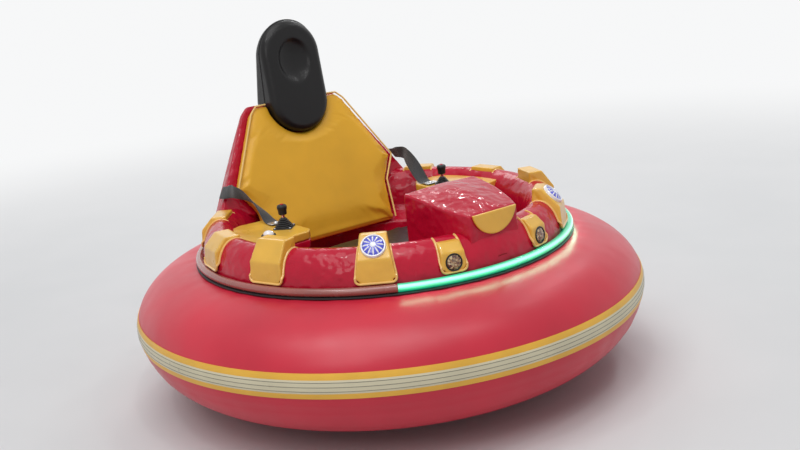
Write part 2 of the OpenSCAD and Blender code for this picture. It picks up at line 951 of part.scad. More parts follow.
module tube_clamp_ring() {
  color(steel)
    rotate_extrude($fn = ring_fn)
      polygon(concat(
        [[clamp_in_r, floor_z - seat_gap], [tub_out_r, floor_z - seat_gap]],
        [for (a = clamp_angles) tube_point(a, clamp_gap)],
        [for (a = reversed(clamp_angles)) tube_point(a, clamp_gap + clamp_t)],
        [[clamp_in_r, tube_point(clamp_from)[1]]]
      ));
}

caster_plate_l = 110;
caster_plate_w = 90;
caster_plate_t = 5;

module chassis_frame() {
  color(steel)
    intersection() {
      union() {
        for (side = [-1, 1])
          translate([-tub_r, side * rail_y - rail / 2, rail_z]) cube([2 * tub_r, rail, rail]);
        for (x = [-end_x, -middle_x, middle_x, end_x])
          translate([x - rail / 2, -tub_r, rail_z]) cube([rail, 2 * tub_r, rail]);
        for (side = [-1, 1])
          translate([side * end_x - caster_plate_l / 2, -caster_plate_w / 2, rail_z])
            cube([caster_plate_l, caster_plate_w, 6]);
      }
      cylinder(r = clamp_in_r - seat_gap, h = floor_z, $fn = ring_fn);
    }
}

battery_front_x = 30;
battery_z = floor_z + floor_t + 2 * seat_gap;

module batteries() {
  color([0.15, 0.17, 0.2])
    for (side = [-1, 1])
      translate([battery_end_gap - tub_r, side * (battery_w / 2 + 4) - battery_w / 2, battery_z])
        cube([
          battery_front_x + tub_r - battery_end_gap, battery_w,
          seat_box_z - shell_t - battery_head_gap - battery_z
        ]);
}

axle_z = wheel_d / 2;
gearbox_out_y = wheel_y - wheel_w / 2 - 10;
motor_foot_w = 100;
motor_l = gearbox_out_y - motor_end_y;

module motor(side) {
  color([0.25, 0.26, 0.28])
    difference() {
      union() {
        translate([0, side * gearbox_out_y, axle_z])
          rotate([side * 90, 0, 0]) cylinder(d = motor_d, h = motor_l);
        translate([-motor_foot_w / 2, side * rail_y - rail / 2, axle_z])
          cube([motor_foot_w, rail, rail_z - seat_gap - axle_z]);
      }
      translate([0, side * (gearbox_out_y + eps), axle_z])
        rotate([side * 90, 0, 0]) cylinder(d = shaft_d + 2 * run_gap, h = 40 + eps);
    }
}

module motor_right() {
  motor(-1);
}

module motor_left() {
  motor(1);
}

tyre_t = 22;

module wheel_axis(side) {
  translate([0, side * wheel_y, axle_z]) rotate([side * -90, 0, 0]) children();
}

module drive_tyre(side) {
  color([0.1, 0.1, 0.1])
    wheel_axis(side)
      rotate_extrude($fn = 96)
        polygon([
          [wheel_d / 2 - tyre_t, -wheel_w / 2], [wheel_d / 2 - 7, -wheel_w / 2],
          [wheel_d / 2 - 2, -wheel_w / 2 + 4], [wheel_d / 2, -wheel_w / 2 + 12],
          [wheel_d / 2, wheel_w / 2 - 12], [wheel_d / 2 - 2, wheel_w / 2 - 4],
          [wheel_d / 2 - 7, wheel_w / 2], [wheel_d / 2 - tyre_t, wheel_w / 2]
        ]);
}

module drive_hub(side) {
  rim_r = wheel_d / 2 - tyre_t - 0.02;
  color([0.6, 0.62, 0.64])
    wheel_axis(side) {
      difference() {
        cylinder(r = rim_r, h = wheel_w - 2, center = true, $fn = 96);
        translate([0, 0, 6]) cylinder(r = rim_r - 8, h = wheel_w, $fn = 96);
        translate([0, 0, -wheel_w - 6]) cylinder(r = rim_r - 8, h = wheel_w, $fn = 96);
        for (a = [0:72:359]) rotate([0, 0, a]) translate([rim_r * 0.62, 0, -wheel_w]) cylinder(d = 28, h = 2 * wheel_w);
      }
      translate([0, 0, -wheel_w / 2 - 8]) cylinder(d = 48, h = wheel_w + 4);
      translate([0, 0, -wheel_w / 2 - 45]) cylinder(d = shaft_d, h = 60);
    }
}

module drive_tyre_right() {
  drive_tyre(-1);
}

module drive_hub_right() {
  drive_hub(-1);
}

module drive_tyre_left() {
  drive_tyre(1);
}

module drive_hub_left() {
  drive_hub(1);
}

// Casters

caster_axle_z = caster_d / 2;
caster_top_z = rail_z - seat_gap;
kingpin_d = 16;
fork_top_z = caster_top_z - caster_plate_t - 14;
fork_t = 4;
caster_boss = 3;
fork_half = caster_w / 2 + caster_boss + 0.5 + fork_t;

module caster_plates() {
  color(steel)
    for (side = [-1, 1])
      translate([side * end_x, 0, 0])
        difference() {
          union() {
            translate([-caster_plate_l / 2, -caster_plate_w / 2, caster_top_z - caster_plate_t])
              cube([caster_plate_l, caster_plate_w, caster_plate_t]);
            translate([0, 0, fork_top_z + seat_gap])
              cylinder(d = 60, h = caster_top_z - caster_plate_t - fork_top_z - seat_gap);
          }
          translate([0, 0, fork_top_z - eps])
            cylinder(d = kingpin_d + 2 * run_gap, h = 12 + eps + seat_gap);
        }
}

module caster_fork(x) {
  color([0.6, 0.62, 0.64])
    translate([x, 0, 0]) {
      translate([0, 0, fork_top_z - fork_t]) cylinder(d = 62, h = fork_t);
      translate([0, 0, fork_top_z - eps]) cylinder(d = kingpin_d, h = 12 + eps - seat_gap);
      for (side = [-1, 1])
        translate([0, side * (fork_half - fork_t / 2) + fork_t / 2, 0])
          rotate([90, 0, 0])
            linear_extrude(fork_t)
              polygon([
                [-22, fork_top_z], [22, fork_top_z], [14, fork_top_z - 26],
                [-caster_trail + 14, caster_axle_z - 12], [-caster_trail - 14, caster_axle_z - 12],
                [-caster_trail - 14, caster_axle_z + 12]
              ]);
      translate([-caster_trail, -fork_half, caster_axle_z])
        rotate([-90, 0, 0]) cylinder(d = 12, h = 2 * fork_half);
    }
}

module caster_wheel(x) {
  color([0.13, 0.13, 0.14])
    translate([x - caster_trail, 0, caster_axle_z])
      rotate([90, 0, 0])
        rotate_extrude()
          polygon([
            [6 + run_gap, -caster_w / 2 - caster_boss], [16, -caster_w / 2 - caster_boss], [18, -caster_w / 2 + 6],
            [caster_d / 2 - 18, -caster_w / 2 + 6], [caster_d / 2 - 14, -caster_w / 2],
            [caster_d / 2 - 5, -caster_w / 2], [caster_d / 2, -caster_w / 2 + 7],
            [caster_d / 2, caster_w / 2 - 7], [caster_d / 2 - 5, caster_w / 2],
            [caster_d / 2 - 14, caster_w / 2], [caster_d / 2 - 18, caster_w / 2 - 6],
            [18, caster_w / 2 - 6], [16, caster_w / 2 + caster_boss], [6 + run_gap, caster_w / 2 + caster_boss]
          ]);
}

module caster_fork_front() {
  caster_fork(end_x);
}

module caster_wheel_front() {
  caster_wheel(end_x);
}

module caster_fork_rear() {
  caster_fork(-end_x);
}

module caster_wheel_rear() {
  caster_wheel(-end_x);
}

bumper_tube();
tube_band();
air_valve();
light_ring_lit();
light_ring_dark();
light_channel();
body_shell();
floor_pan();
collar_blocks();
signal_blocks();
headlamp_blocks();
signal_domes();
headlamp_lenses();
nose_cowl();
nose_beak();
seat_box();
seat_cushion();
seat_shell();
seat_back_pad();
headrest();
headrest_dish();
lap_belt_right();
lap_belt_left();
console_right();
console_left();
armrest_right();
armrest_left();
joystick_plates();
joystick_right();
joystick_left();
console_bezels();
console_domes();
charge_socket();
tube_clamp_ring();
chassis_frame();
batteries();
motor_right();
motor_left();
drive_tyre_right();
drive_hub_right();
drive_tyre_left();
drive_hub_left();
caster_plates();
caster_fork_front();
caster_wheel_front();
caster_fork_rear();
caster_wheel_rear();
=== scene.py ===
"""Looks of a round spinning bumper car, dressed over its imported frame."""
import json
from math import acos, asin, atan, atan2, cos, degrees, exp, hypot, pi, radians, sin, sqrt, tan

import bmesh
import bpy
import numpy as np
from mathutils import Euler, Matrix, Vector


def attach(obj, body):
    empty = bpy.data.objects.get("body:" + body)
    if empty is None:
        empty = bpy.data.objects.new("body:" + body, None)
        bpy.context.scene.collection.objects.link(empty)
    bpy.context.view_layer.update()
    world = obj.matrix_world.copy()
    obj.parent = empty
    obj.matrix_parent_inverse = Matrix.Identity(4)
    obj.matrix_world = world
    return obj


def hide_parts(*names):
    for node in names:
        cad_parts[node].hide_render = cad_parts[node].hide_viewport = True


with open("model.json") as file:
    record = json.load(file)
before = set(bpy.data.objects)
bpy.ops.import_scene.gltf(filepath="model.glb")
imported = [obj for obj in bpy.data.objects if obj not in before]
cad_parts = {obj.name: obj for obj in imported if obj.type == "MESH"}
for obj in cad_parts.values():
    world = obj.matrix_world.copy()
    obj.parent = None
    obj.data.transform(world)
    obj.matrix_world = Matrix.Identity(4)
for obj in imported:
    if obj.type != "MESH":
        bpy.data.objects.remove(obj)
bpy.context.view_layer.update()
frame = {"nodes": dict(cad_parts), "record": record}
nodes = frame["nodes"]
scene = bpy.context.scene
record_slots = {p["node"]: p["material_slot"] for p in frame["record"]["subparts"]}

BACKDROP = (0.93, 0.935, 0.94, 1)

# Sizes in metres, as in the frame
TUBE_MID_R, TUBE_HALF_W, TUBE_MID_Z = 0.634, 0.266, 0.315
TUBE_RISE, TUBE_DROP = 0.180, 0.235
TUB_R, SHELL_T = 0.430, 0.006
TUBE_IN_R = TUB_R + SHELL_T + 0.0003
COLLAR_MID_R, COLLAR_HALF_W = 0.5725, 0.0725
COLLAR_R, COLLAR_IN_R = 0.645, 0.500
COLLAR_BASE_Z, COLLAR_RISE = 0.5016, 0.127
LIGHT_R = 0.0132
LIGHT_MID_R = COLLAR_R + 0.0003 + LIGHT_R
CREST_Z = TUBE_MID_Z + TUBE_RISE
LIGHT_Z = COLLAR_BASE_Z + LIGHT_R
LIT_FROM, LIT_TO = -32.0, 100.0
ARM_Z = 0.6036
FLOOR_TOP = 0.2063
BACK_X, BACK_Z, RECLINE = 0.412, 0.7196, radians(21)
SEAT_BOX_X, SEAT_BOX_Z = 0.138, 0.380
HEAD_W, HEAD_T, HEAD_LOW_Z, HEAD_TOP_Z = 0.250, 0.060, 0.850, 1.275
HEAD_LEAN, HEAD_BACK_X = radians(8), 0.624
DISH_Z = HEAD_TOP_Z - 0.150
STICK_X, STICK_Y = -0.088, 0.352
BUTTON_X, BUTTON_Y, BUTTON_R = -0.035, 0.444, 0.025
WHEEL_D, WHEEL_W, WHEEL_Y, AXLE_Z = 0.220, 0.050, 0.300, 0.110
CLAMP_IN_R, MOTOR_END_Y = 0.431, 0.065
CASTER_X, CASTER_TRAIL, CASTER_AXLE_Z = 0.330, 0.035, 0.055
CASTER_PLATE_Z, FORK_HALF = 0.1547, 0.0235


# ------------------------ materials

finish = {}


def plug(nt, node, sockets):
    """Sets a node's sockets to values, or links them to outputs."""
    for key, value in sockets.items():
        if isinstance(value, bpy.types.NodeSocket):
            nt.links.new(value, node.inputs[key])
        else:
            node.inputs[key].default_value = value
    return node


def add(nt, kind, sockets=None, **settings):
    """A new shader node, with its settings and sockets."""
    node = nt.nodes.new("ShaderNode" + kind)
    for key, value in settings.items():
        setattr(node, key, value)
    return plug(nt, node, sockets or {})


def tree(name):
    """A new material's node tree, shader and object coordinates."""
    mat = bpy.data.materials.new(name)
    mat.use_nodes = True
    nt = mat.node_tree
    nt.nodes.clear()
    bsdf = add(nt, "BsdfPrincipled")
    add(nt, "OutputMaterial", {0: bsdf.outputs[0]})
    finish[name] = mat
    return nt, bsdf, add(nt, "TexCoord").outputs["Object"]


def noise(nt, coord, scale, detail=2.0):
    return add(nt, "TexNoise", {"Vector": coord, "Scale": scale, "Detail": detail}).outputs["Fac"]


def remap(nt, value, low, high, start=0.3, end=0.7):
    return add(nt, "MapRange", {"Value": value, "From Min": start, "From Max": end,
                                "To Min": low, "To Max": high}).outputs[0]


def mix(nt, factor, a, b):
    a, b = ((*v, 1) if isinstance(v, tuple) else v for v in (a, b))
    return add(nt, "Mix", {0: factor, 6: a, 7: b}, data_type="RGBA").outputs[2]


def bump(nt, bsdf, layers):
    """layers: (height output, distance in metres, strength), the coarsest first."""
    last = {}
    for height, distance, strength in layers:
        sockets = {"Height": height, "Distance": distance, "Strength": strength, **last}
        last = {"Normal": add(nt, "Bump", sockets).outputs[0]}
    plug(nt, bsdf, {**last, "Coat Normal": last["Normal"]})


def tint(color, factor):
    return tuple(min(1.0, c * factor) for c in color)


def mottled(nt, coord, color, vary, scale, detail):
    return mix(nt, remap(nt, noise(nt, coord, scale, detail), 0, 1),
               tint(color, 1 - vary), tint(color, 1 + vary))


def surface(name, color, rough, vary=0.08, vary_scale=7.0, grain=900.0, grain_depth=0.0001,
            wave=0.0, wave_scale=10.0, metallic=0.0, coat=0.0, coat_rough=0.05, specular=0.5,
            rough_vary=0.06):
    """A plastic, paint, vinyl or metal with mottled colour, uneven gloss and fine grain."""
    nt, bsdf, coord = tree(name)
    gloss = noise(nt, coord, vary_scale * 3, 4.0)
    plug(nt, bsdf, {"Base Color": mottled(nt, coord, color, vary, vary_scale, 3.0),
                    "Roughness": remap(nt, gloss, rough - rough_vary / 2, rough + rough_vary),
                    "Metallic": metallic, "Coat Weight": coat, "Coat Roughness": coat_rough,
                    "Specular IOR Level": specular})
    layers = [(noise(nt, coord, wave_scale, 1.0), wave, 1.0)] if wave else []
    bump(nt, bsdf, layers + [(noise(nt, coord, grain), grain_depth, 0.6)])


def leather(name, color, rough, cell=420.0, depth=0.0003, vary=0.06, coat=0.0, specular=0.3):
    """Upholstery vinyl: pebbled grain, soft folds and slightly uneven colour."""
    nt, bsdf, coord = tree(name)
    cells = add(nt, "TexVoronoi", {"Vector": coord, "Scale": cell}, feature="DISTANCE_TO_EDGE")
    gloss = noise(nt, coord, 40.0, 3.0)
    plug(nt, bsdf, {"Base Color": mottled(nt, coord, color, vary, 5.0, 4.0),
                    "Roughness": remap(nt, gloss, rough - 0.05, rough + 0.07),
                    "Specular IOR Level": specular, "Coat Weight": coat, "Coat Roughness": 0.2})
    bump(nt, bsdf, [(noise(nt, coord, 16.0), 0.003, 0.5), (cells.outputs["Distance"], depth, 0.5)])


def faceted(name, dark, middle, bright, cell, rough):
    """A lens of small facets, each with its own tint."""
    nt, bsdf, coord = tree(name)
    cells = add(nt, "TexVoronoi", {"Vector": coord, "Scale": cell}).outputs
    value = add(nt, "SeparateColor", {0: cells["Color"]}).outputs
    plain = mix(nt, remap(nt, value[0], 0, 1, 0.2, 0.8), dark, middle)
    plug(nt, bsdf, {"Base Color": mix(nt, remap(nt, value[1], 0, 1, 0.6, 0.9), plain, bright),
                    "Roughness": rough, "Coat Weight": 0.8, "Coat Roughness": 0.05})
    bump(nt, bsdf, [(cells["Distance"], 0.0015, 0.8)])


def webbing(name, color):
    """Woven strap: ribs across its width and twill along it, from the strap's own UVs."""
    nt, bsdf, _ = tree(name)
    uv = add(nt, "TexCoord").outputs["UV"]
    ribs = add(nt, "TexWave", {"Vector": uv, "Scale": 110.0}, bands_direction="Y").outputs["Fac"]
    twill = add(nt, "TexWave", {"Vector": uv, "Scale": 60.0},
                bands_direction="DIAGONAL").outputs["Fac"]
    plug(nt, bsdf, {"Base Color": mix(nt, ribs, tint(color, 0.6), tint(color, 1.5)),
                    "Roughness": 0.72, "Sheen Weight": 0.25})
    bump(nt, bsdf, [(twill, 0.0004, 0.5), (ribs, 0.0006, 0.8)])


surface("tube_vinyl", (0.58, 0.02, 0.045), 0.33, vary=0.10, vary_scale=3.0, grain=700,
        grain_depth=0.0002, wave=0.0035, wave_scale=7.0, specular=0.45)
surface("band_vinyl", (0.80, 0.44, 0.05), 0.38, grain=700, wave=0.002, wave_scale=9)
surface("band_pale", (0.66, 0.60, 0.42), 0.30, vary=0.06, grain=500, wave=0.001, wave_scale=12)
surface("band_line", (0.22, 0.20, 0.15), 0.45)
surface("light_dark", (0.30, 0.075, 0.06), 0.25, vary=0.15, coat=0.6, coat_rough=0.12)
surface("red_shell", (0.50, 0.005, 0.030), 0.22, vary_scale=6.0, grain=300, grain_depth=0.00004,
        wave=0.006, wave_scale=26.0, coat=0.35, coat_rough=0.04, specular=0.12)
surface("yellow_shell", (0.80, 0.45, 0.055), 0.30, vary=0.10, vary_scale=9.0, grain=400,
        grain_depth=0.00005, wave=0.002, wave_scale=22.0, coat=0.5, coat_rough=0.08, specular=0.3)
# flange beads: the blocks' yellow made paler, a painted highlight of their rounded edge
surface("yellow_edge", (0.86, 0.50, 0.13), 0.28, grain=500, coat=0.7)
surface("floor_grey", (0.07, 0.07, 0.075), 0.6, grain=500, grain_depth=0.0004)
surface("black_plastic", (0.014, 0.014, 0.016), 0.38, vary=0.2, grain=1400, grain_depth=0.00015,
        specular=0.3)
surface("black_rubber", (0.014, 0.014, 0.015), 0.5, grain=600)
surface("grey_thread", (0.10, 0.10, 0.11), 0.7, grain=1500)
surface("white_dome", (0.86, 0.86, 0.88), 0.18, vary=0.03, coat=0.8)
surface("blue_lens", (0.06, 0.07, 0.62), 0.12, vary=0.2, vary_scale=90, grain=400, coat=1.0)
surface("clear_lens", (0.84, 0.84, 0.90), 0.10, vary=0.05, vary_scale=90, grain=400, coat=1.0)
surface("frame_steel", (0.035, 0.036, 0.04), 0.45, grain=350, grain_depth=0.0003)
surface("zinc_steel", (0.55, 0.56, 0.58), 0.34, vary=0.12, vary_scale=40, grain=800, metallic=1.0,
        rough_vary=0.14)
surface("chrome", (0.72, 0.73, 0.75), 0.12, vary=0.03, grain=1000, grain_depth=0.00002,
        metallic=1.0)
surface("hub_alloy", (0.62, 0.63, 0.65), 0.32, vary=0.06, metallic=1.0)
surface("battery_case", (0.04, 0.04, 0.045), 0.5, grain=300, grain_depth=0.0005)
surface("motor_case", (0.07, 0.07, 0.078), 0.36, grain=500, grain_depth=0.0002)
surface("tyre_rubber", (0.022, 0.022, 0.022), 0.72, vary=0.25, vary_scale=18, grain=420,
        grain_depth=0.0005)
leather("seat_yellow", (0.82, 0.44, 0.03), 0.42, vary=0.07, coat=0.1)
leather("seat_black", (0.010, 0.0095, 0.010), 0.34, coat=0.12, specular=0.2)
# the seat back's edge bead: a paler yellow than the pad, a painted highlight of the rounded edge
leather("piping", (0.88, 0.58, 0.20), 0.38, cell=700, depth=0.0001)
webbing("belt_webbing", (0.018, 0.018, 0.02))
faceted("headlamp_lens", (0.09, 0.02, 0.015), (0.30, 0.15, 0.05), (0.62, 0.48, 0.26), 170, 0.15)
finish["signal_lens"] = finish["blue_lens"]


def glow_material():
    """Lit light tube: its colour follows a point attribute set round its section."""
    nt, bsdf, coord = tree("light_lit")
    core = add(nt, "Attribute", attribute_name="core").outputs["Fac"]
    color = mix(nt, core, (0.0, 0.40, 0.20), (0.34, 0.97, 0.66))
    plug(nt, bsdf, {"Base Color": color, "Emission Color": color, "Roughness": 0.16,
                    "Emission Strength": remap(nt, core, 0.6, 1.15, 0, 1),
                    "Coat Weight": 0.6, "Coat Roughness": 0.08})
    bump(nt, bsdf, [(noise(nt, coord, 60.0), 0.0004, 0.4)])


glow_material()


# ------------------------ mesh tools

def dress(obj, material):
    obj.data.materials.clear()
    obj.data.materials.append(finish[material])


def held(name, data):
    """An object in the scene."""
    obj = bpy.data.objects.new(name, data)
    scene.collection.objects.link(obj)
    return obj


def finished(obj, material, replaced, body="car"):
    """Dresses an object, puts it on its body and hides the nodes it stands for."""
    dress(obj, material)
    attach(obj, body)
    if replaced:
        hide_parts(*replaced)
    return obj


def turned_out(mesh, weld=False):
    """Turns all faces outwards, with double points welded first if asked."""
    bm = bmesh.new()
    bm.from_mesh(mesh)
    if weld:
        bmesh.ops.remove_doubles(bm, verts=bm.verts, dist=1e-6)
    bmesh.ops.recalc_face_normals(bm, faces=bm.faces)
    bm.to_mesh(mesh)
    bm.free()


def piece(name, verts, faces, material, body="car", replaced=(), slot=None, crease=40.0,
          weld=True):
    """A mesh piece that rides on a body, shaded smooth across edges under crease degrees."""
    mesh = bpy.data.meshes.new(name)
    mesh.from_pydata([tuple(v) for v in verts], [], [tuple(f) for f in faces])
    if weld:
        turned_out(mesh, True)
    obj = held(name, mesh)
    settle(obj, crease)
    slot = slot or (material if material in record_slots.values() else "black_plastic")
    return finished(obj, material, replaced, body)


def settle(obj, crease=40.0):
    obj.data.shade_smooth()
    obj.data.set_sharp_from_angle(angle=radians(crease))


def mm(*numbers):
    """Pairs of numbers, given in millimetres."""
    return [(a / 1000, b / 1000) for a, b in zip(numbers[::2], numbers[1::2])]


def round_angles(count):
    return [2 * pi * i / count for i in range(count)]


def grid_faces(rows, cols, wrap_rows=False, wrap_cols=False):
    r_count = rows if wrap_rows else rows - 1
    c_count = cols if wrap_cols else cols - 1
    return [(r * cols + c, r * cols + (c + 1) % cols,
             ((r + 1) % rows) * cols + (c + 1) % cols, ((r + 1) % rows) * cols + c)
            for r in range(r_count) for c in range(c_count)]


def capped(rows, cols):
    """Faces of a solid made of closed rows of points, its first and last row filled."""
    ends = [tuple(range(cols)), tuple(range((rows - 1) * cols, rows * cols))]
    return grid_faces(rows, cols, wrap_cols=True) + ends


def lathe(name, profile, material, segments=240, start=0.0, end=360.0, axis=Matrix(), **kw):
    """Turns a profile of (radius, height) round Z, or round the Z axis of the matrix in axis."""
    full = abs(end - start) > 359.9
    count, n = segments if full else segments + 1, len(profile)
    angles = [radians(start + (end - start) * i / segments) for i in range(count)]
    verts = [axis @ Vector((r * cos(a), r * sin(a), z)) for a in angles for r, z in profile]
    faces = grid_faces(count, n, True, True) if full else capped(count, n)
    return piece(name, verts, faces, material, **kw)


def placed(x, y, z, rx=0.0, ry=0.0):
    """A place in the row frame, with turns in degrees about X, then Y."""
    turn = Euler((radians(rx), radians(ry), 0), "XYZ").to_matrix()
    return Matrix.Translation((x, y, z)) @ turn.to_4x4()


def sweep(name, path, radius, material, closed=False, sides=10, **kw):
    """A round bead along a path."""
    pts = [Vector(p) for p in path]
    n = len(pts)
    verts = []
    up = Vector((0, 0, 1))
    for i, p in enumerate(pts):
        a = pts[(i - 1) % n] if closed or i else p
        b = pts[(i + 1) % n] if closed or i < n - 1 else p
        along = (b - a).normalized()
        side = along.cross(up)
        if side.length < 0.05:
            side = along.cross(Vector((1, 0, 0)))
        side.normalize()
        lift = side.cross(along).normalized()
        verts += [p + side * (radius * cos(t)) + lift * (radius * sin(t))
                  for t in round_angles(sides)]
    faces = grid_faces(n, sides, True, True) if closed else capped(n, sides)
    return piece(name, verts, faces, material, **kw)


def joined(name, parts, material, **kw):
    """One piece from several (verts, faces) lists."""
    verts, faces = [], []
    for v, f in parts:
        base = len(verts)
        verts += v
        faces += [tuple(base + i for i in face) for face in f]
    return piece(name, verts, faces, material, **kw)


def moulded(obj, voxel, smooth):
    """Rounds a closed piece's edges as a mould does: a fine remesh, then smoothing."""
    remesh = obj.modifiers.new("remesh", "REMESH")
    remesh.mode = "VOXEL"
    remesh.voxel_size = voxel
    remesh.use_smooth_shade = True
    relax = obj.modifiers.new("relax", "SMOOTH")
    relax.factor = 0.5
    relax.iterations = smooth
    bake(obj)
    settle(obj, 180)


def softened(name, node, material, voxel, smooth, rooted=0.0, extra=()):
    """A moulded copy of a node, standing for it, its underside let in by rooted."""
    obj = held(name, nodes[node].data.copy())
    bm = bmesh.new()
    bm.from_mesh(obj.data)
    for verts, faces in extra:
        made = [bm.verts.new(v) for v in verts]
        new_faces = [bm.faces.new([made[i] for i in face]) for face in faces]
        bmesh.ops.recalc_face_normals(bm, faces=new_faces)
    bm.to_mesh(obj.data)
    bm.free()
    moulded(obj, voxel, smooth)
    if rooted:
        for v in obj.data.vertices:
            if v.normal.z < -0.2:
                v.co.z -= rooted
    finished(obj, material, [node])


def bake(obj):
    """Turns an object's modifiers into its mesh."""
    bpy.context.view_layer.update()
    graph = bpy.context.evaluated_depsgraph_get()
    mesh = bpy.data.meshes.new_from_object(obj.evaluated_get(graph))
    obj.modifiers.clear()
    obj.data = mesh


# ------------------------ bumper tube

def oval(angle, gap=0.0):
    """A point (radius, height) of the tube's section, moved out by gap."""
    c, s = cos(angle), sin(angle)
    rise = TUBE_RISE if s >= 0 else TUBE_DROP
    nx, nz = c / TUBE_HALF_W, s / rise
    n = hypot(nx, nz)
    return TUBE_MID_R + TUBE_HALF_W * c + gap * nx / n, TUBE_MID_Z + rise * s + gap * nz / n


def tube_skin():
    """The inflated ring: pressed flat on the cockpit's wall, with soft creases at its seams."""
    turns, ring = 440, 120
    verts = []
    for i in range(turns):
        t = 2 * pi * i / turns
        for j in range(ring):
            a = 2 * pi * j / ring
            # creases run across the seams: near the crest's inner half and under the band
            near_crest = exp(-((a - 1.75) / 0.45) ** 2)
            near_band = exp(-((a - 2 * pi + 0.42) / 0.25) ** 2)
            ripple = (sin(37 * t + 1.3 * sin(5 * t)) + 0.6 * sin(61 * t + 2.0)
                      + 0.5 * sin(23 * t + 0.7))
            gap = 0.0009 * ripple * (near_crest + 0.5 * near_band)
            gap -= 0.0025 * exp(-((a - 2 * pi + 0.38) / 0.035) ** 2)
            r, z = oval(a, gap)
            r = max(r, TUBE_IN_R)
            verts.append((r * cos(t), r * sin(t), z))
    return piece("tube_skin", verts, grid_faces(turns, ring, True, True), "tube_vinyl",
                 replaced=("bumper_tube",), crease=60)


def band_profile(z_low, z_high, inner, outer, steps=10):
    low = asin((z_low - TUBE_MID_Z) / TUBE_DROP)
    high = asin((z_high - TUBE_MID_Z) / TUBE_RISE)
    angles = [low + (high - low) * i / steps for i in range(steps + 1)]
    edge = (outer - inner) * 0.35
    face = [oval(a, outer - (edge if i in (0, steps) else 0)) for i, a in enumerate(angles)]
    back = [oval(a, inner) for a in reversed(angles)]
    return face + back


def bumper_band():
    yellow = band_profile(0.2765, 0.3535, 0.0003, 0.0026)
    lathe("band_yellow", yellow, "band_vinyl", segments=360, replaced=("tube_band",))
    pale = band_profile(0.2935, 0.3345, 0.0012, 0.0036)
    lathe("band_pale_strip", pale, "band_pale", segments=360, slot="band_vinyl")
    for k, z in enumerate((0.3005, 0.3140, 0.3275)):
        a = asin((z - TUBE_MID_Z) / (TUBE_RISE if z > TUBE_MID_Z else TUBE_DROP))
        r, h = oval(a, 0.0034)
        ring = [(r + 0.0009 * cos(u), h + 0.0011 * sin(u)) for u in round_angles(8)]
        lathe(f"band_line_{k + 1}", ring, "band_line", segments=360, slot="band_vinyl")


# ------------------------ light ring

def light_ring():
    section = [(LIGHT_MID_R + LIGHT_R * cos(a), LIGHT_Z + LIGHT_R * sin(a))
               for a in round_angles(28)]
    lit = lathe("light_tube_lit", section, "light_lit", segments=200, start=LIT_FROM, end=LIT_TO,
                replaced=("light_ring_lit",))
    attr = lit.data.attributes.new("core", "FLOAT", "POINT")
    for v in lit.data.vertices:
        r = hypot(v.co.x, v.co.y)
        a = degrees(atan2(v.co.z - LIGHT_Z, r - LIGHT_MID_R))
        attr.data[v.index].value = exp(-((a - 30) / 24) ** 2)
    lathe("light_tube_dark", section, "light_dark", segments=300, start=LIT_TO + 0.1,
          end=360 + LIT_FROM - 0.1, replaced=("light_ring_dark",))
    z = CREST_Z + 0.0003
    lip = [(COLLAR_R + r, z + h)
           for r, h in mm(-8, 0, 24.5, 0, 27.3, 1.4, 27.3, 4.6, 24.5, 6, -8, 6)]
    lathe("light_gasket", lip, "black_rubber", segments=300, slot="black_plastic",
          replaced=("light_channel",))


# ------------------------ cockpit shell

def collar_z(r):
    u = min(abs(r - COLLAR_MID_R) / COLLAR_HALF_W, 1.0)
    return COLLAR_BASE_Z + COLLAR_RISE * sqrt(1 - u * u)


def shell_path():
    path = [(COLLAR_MID_R + COLLAR_HALF_W * cos(a), COLLAR_BASE_Z + COLLAR_RISE * sin(a))
            for a in (pi * i / 40 for i in range(41))]
    path.append((COLLAR_IN_R, COLLAR_BASE_Z - 0.010))
    start = acos((COLLAR_IN_R - SHELL_T - TUBE_MID_R) / TUBE_HALF_W)
    stop = acos((TUBE_IN_R - TUBE_MID_R) / TUBE_HALF_W)
    shelf = [oval(start + (stop - start) * i / 8, SHELL_T + 0.002) for i in range(9)]
    path += shelf + [(TUB_R, shelf[-1][1] - SHELL_T), (TUB_R, 0.2)]
    return path


def offset(path, t):
    out = []
    for i, p in enumerate(path):
        a, b = path[max(i - 1, 0)], path[min(i + 1, len(path) - 1)]
        dx, dy = b[0] - a[0], b[1] - a[1]
        n = hypot(dx, dy)
        out.append((p[0] - t * dy / n, p[1] + t * dx / n))
    return out


def cockpit_shell():
    path = shell_path()
    lathe("collar_and_tub", path + offset(path, SHELL_T)[::-1], "red_shell", segments=360,
          replaced=("body_shell",), crease=50)


# ------------------------ collar blocks

# angle from the nose, height of the outer face, run and rise of the slope above it,
# inner radius, width at the foot, width lost on each side by the top
BLOCKS = {
    "headlamp_blocks": [(16.0, 0.092, 0.028, 0.027, 0.575, 0.088, 0.007)],
    "signal_blocks": [(37.5, 0.105, 0.062, 0.062, 0.545, 0.132, 0.024)],
    "collar_blocks": [(70.0, 0.097, 0.042, 0.062, 0.545, 0.132, 0.010),
                      (98.5, 0.093, 0.040, 0.042, 0.545, 0.132, 0.010),
                      (129.0, 0.093, 0.040, 0.042, 0.545, 0.132, 0.010)],
}
FOOT_R, FACE_LEAN = COLLAR_R + 0.005, 0.006
FOOT_Z = COLLAR_BASE_Z + 2 * LIGHT_R + 0.004
BLOCK_CORNER = 0.018


def block_form(row, side):
    """A block's half width at a height, its two upper heights and its turn about Z."""
    angle, face_h, _, climb, _, foot_w, taper = row
    face_top, top = COLLAR_BASE_Z + face_h, COLLAR_BASE_Z + face_h + climb
    half = lambda z: foot_w / 2 - taper * max(0.0, z - FOOT_Z) / (top - FOOT_Z)
    return half, face_top, top, Matrix.Rotation(radians(side * angle), 4, "Z")


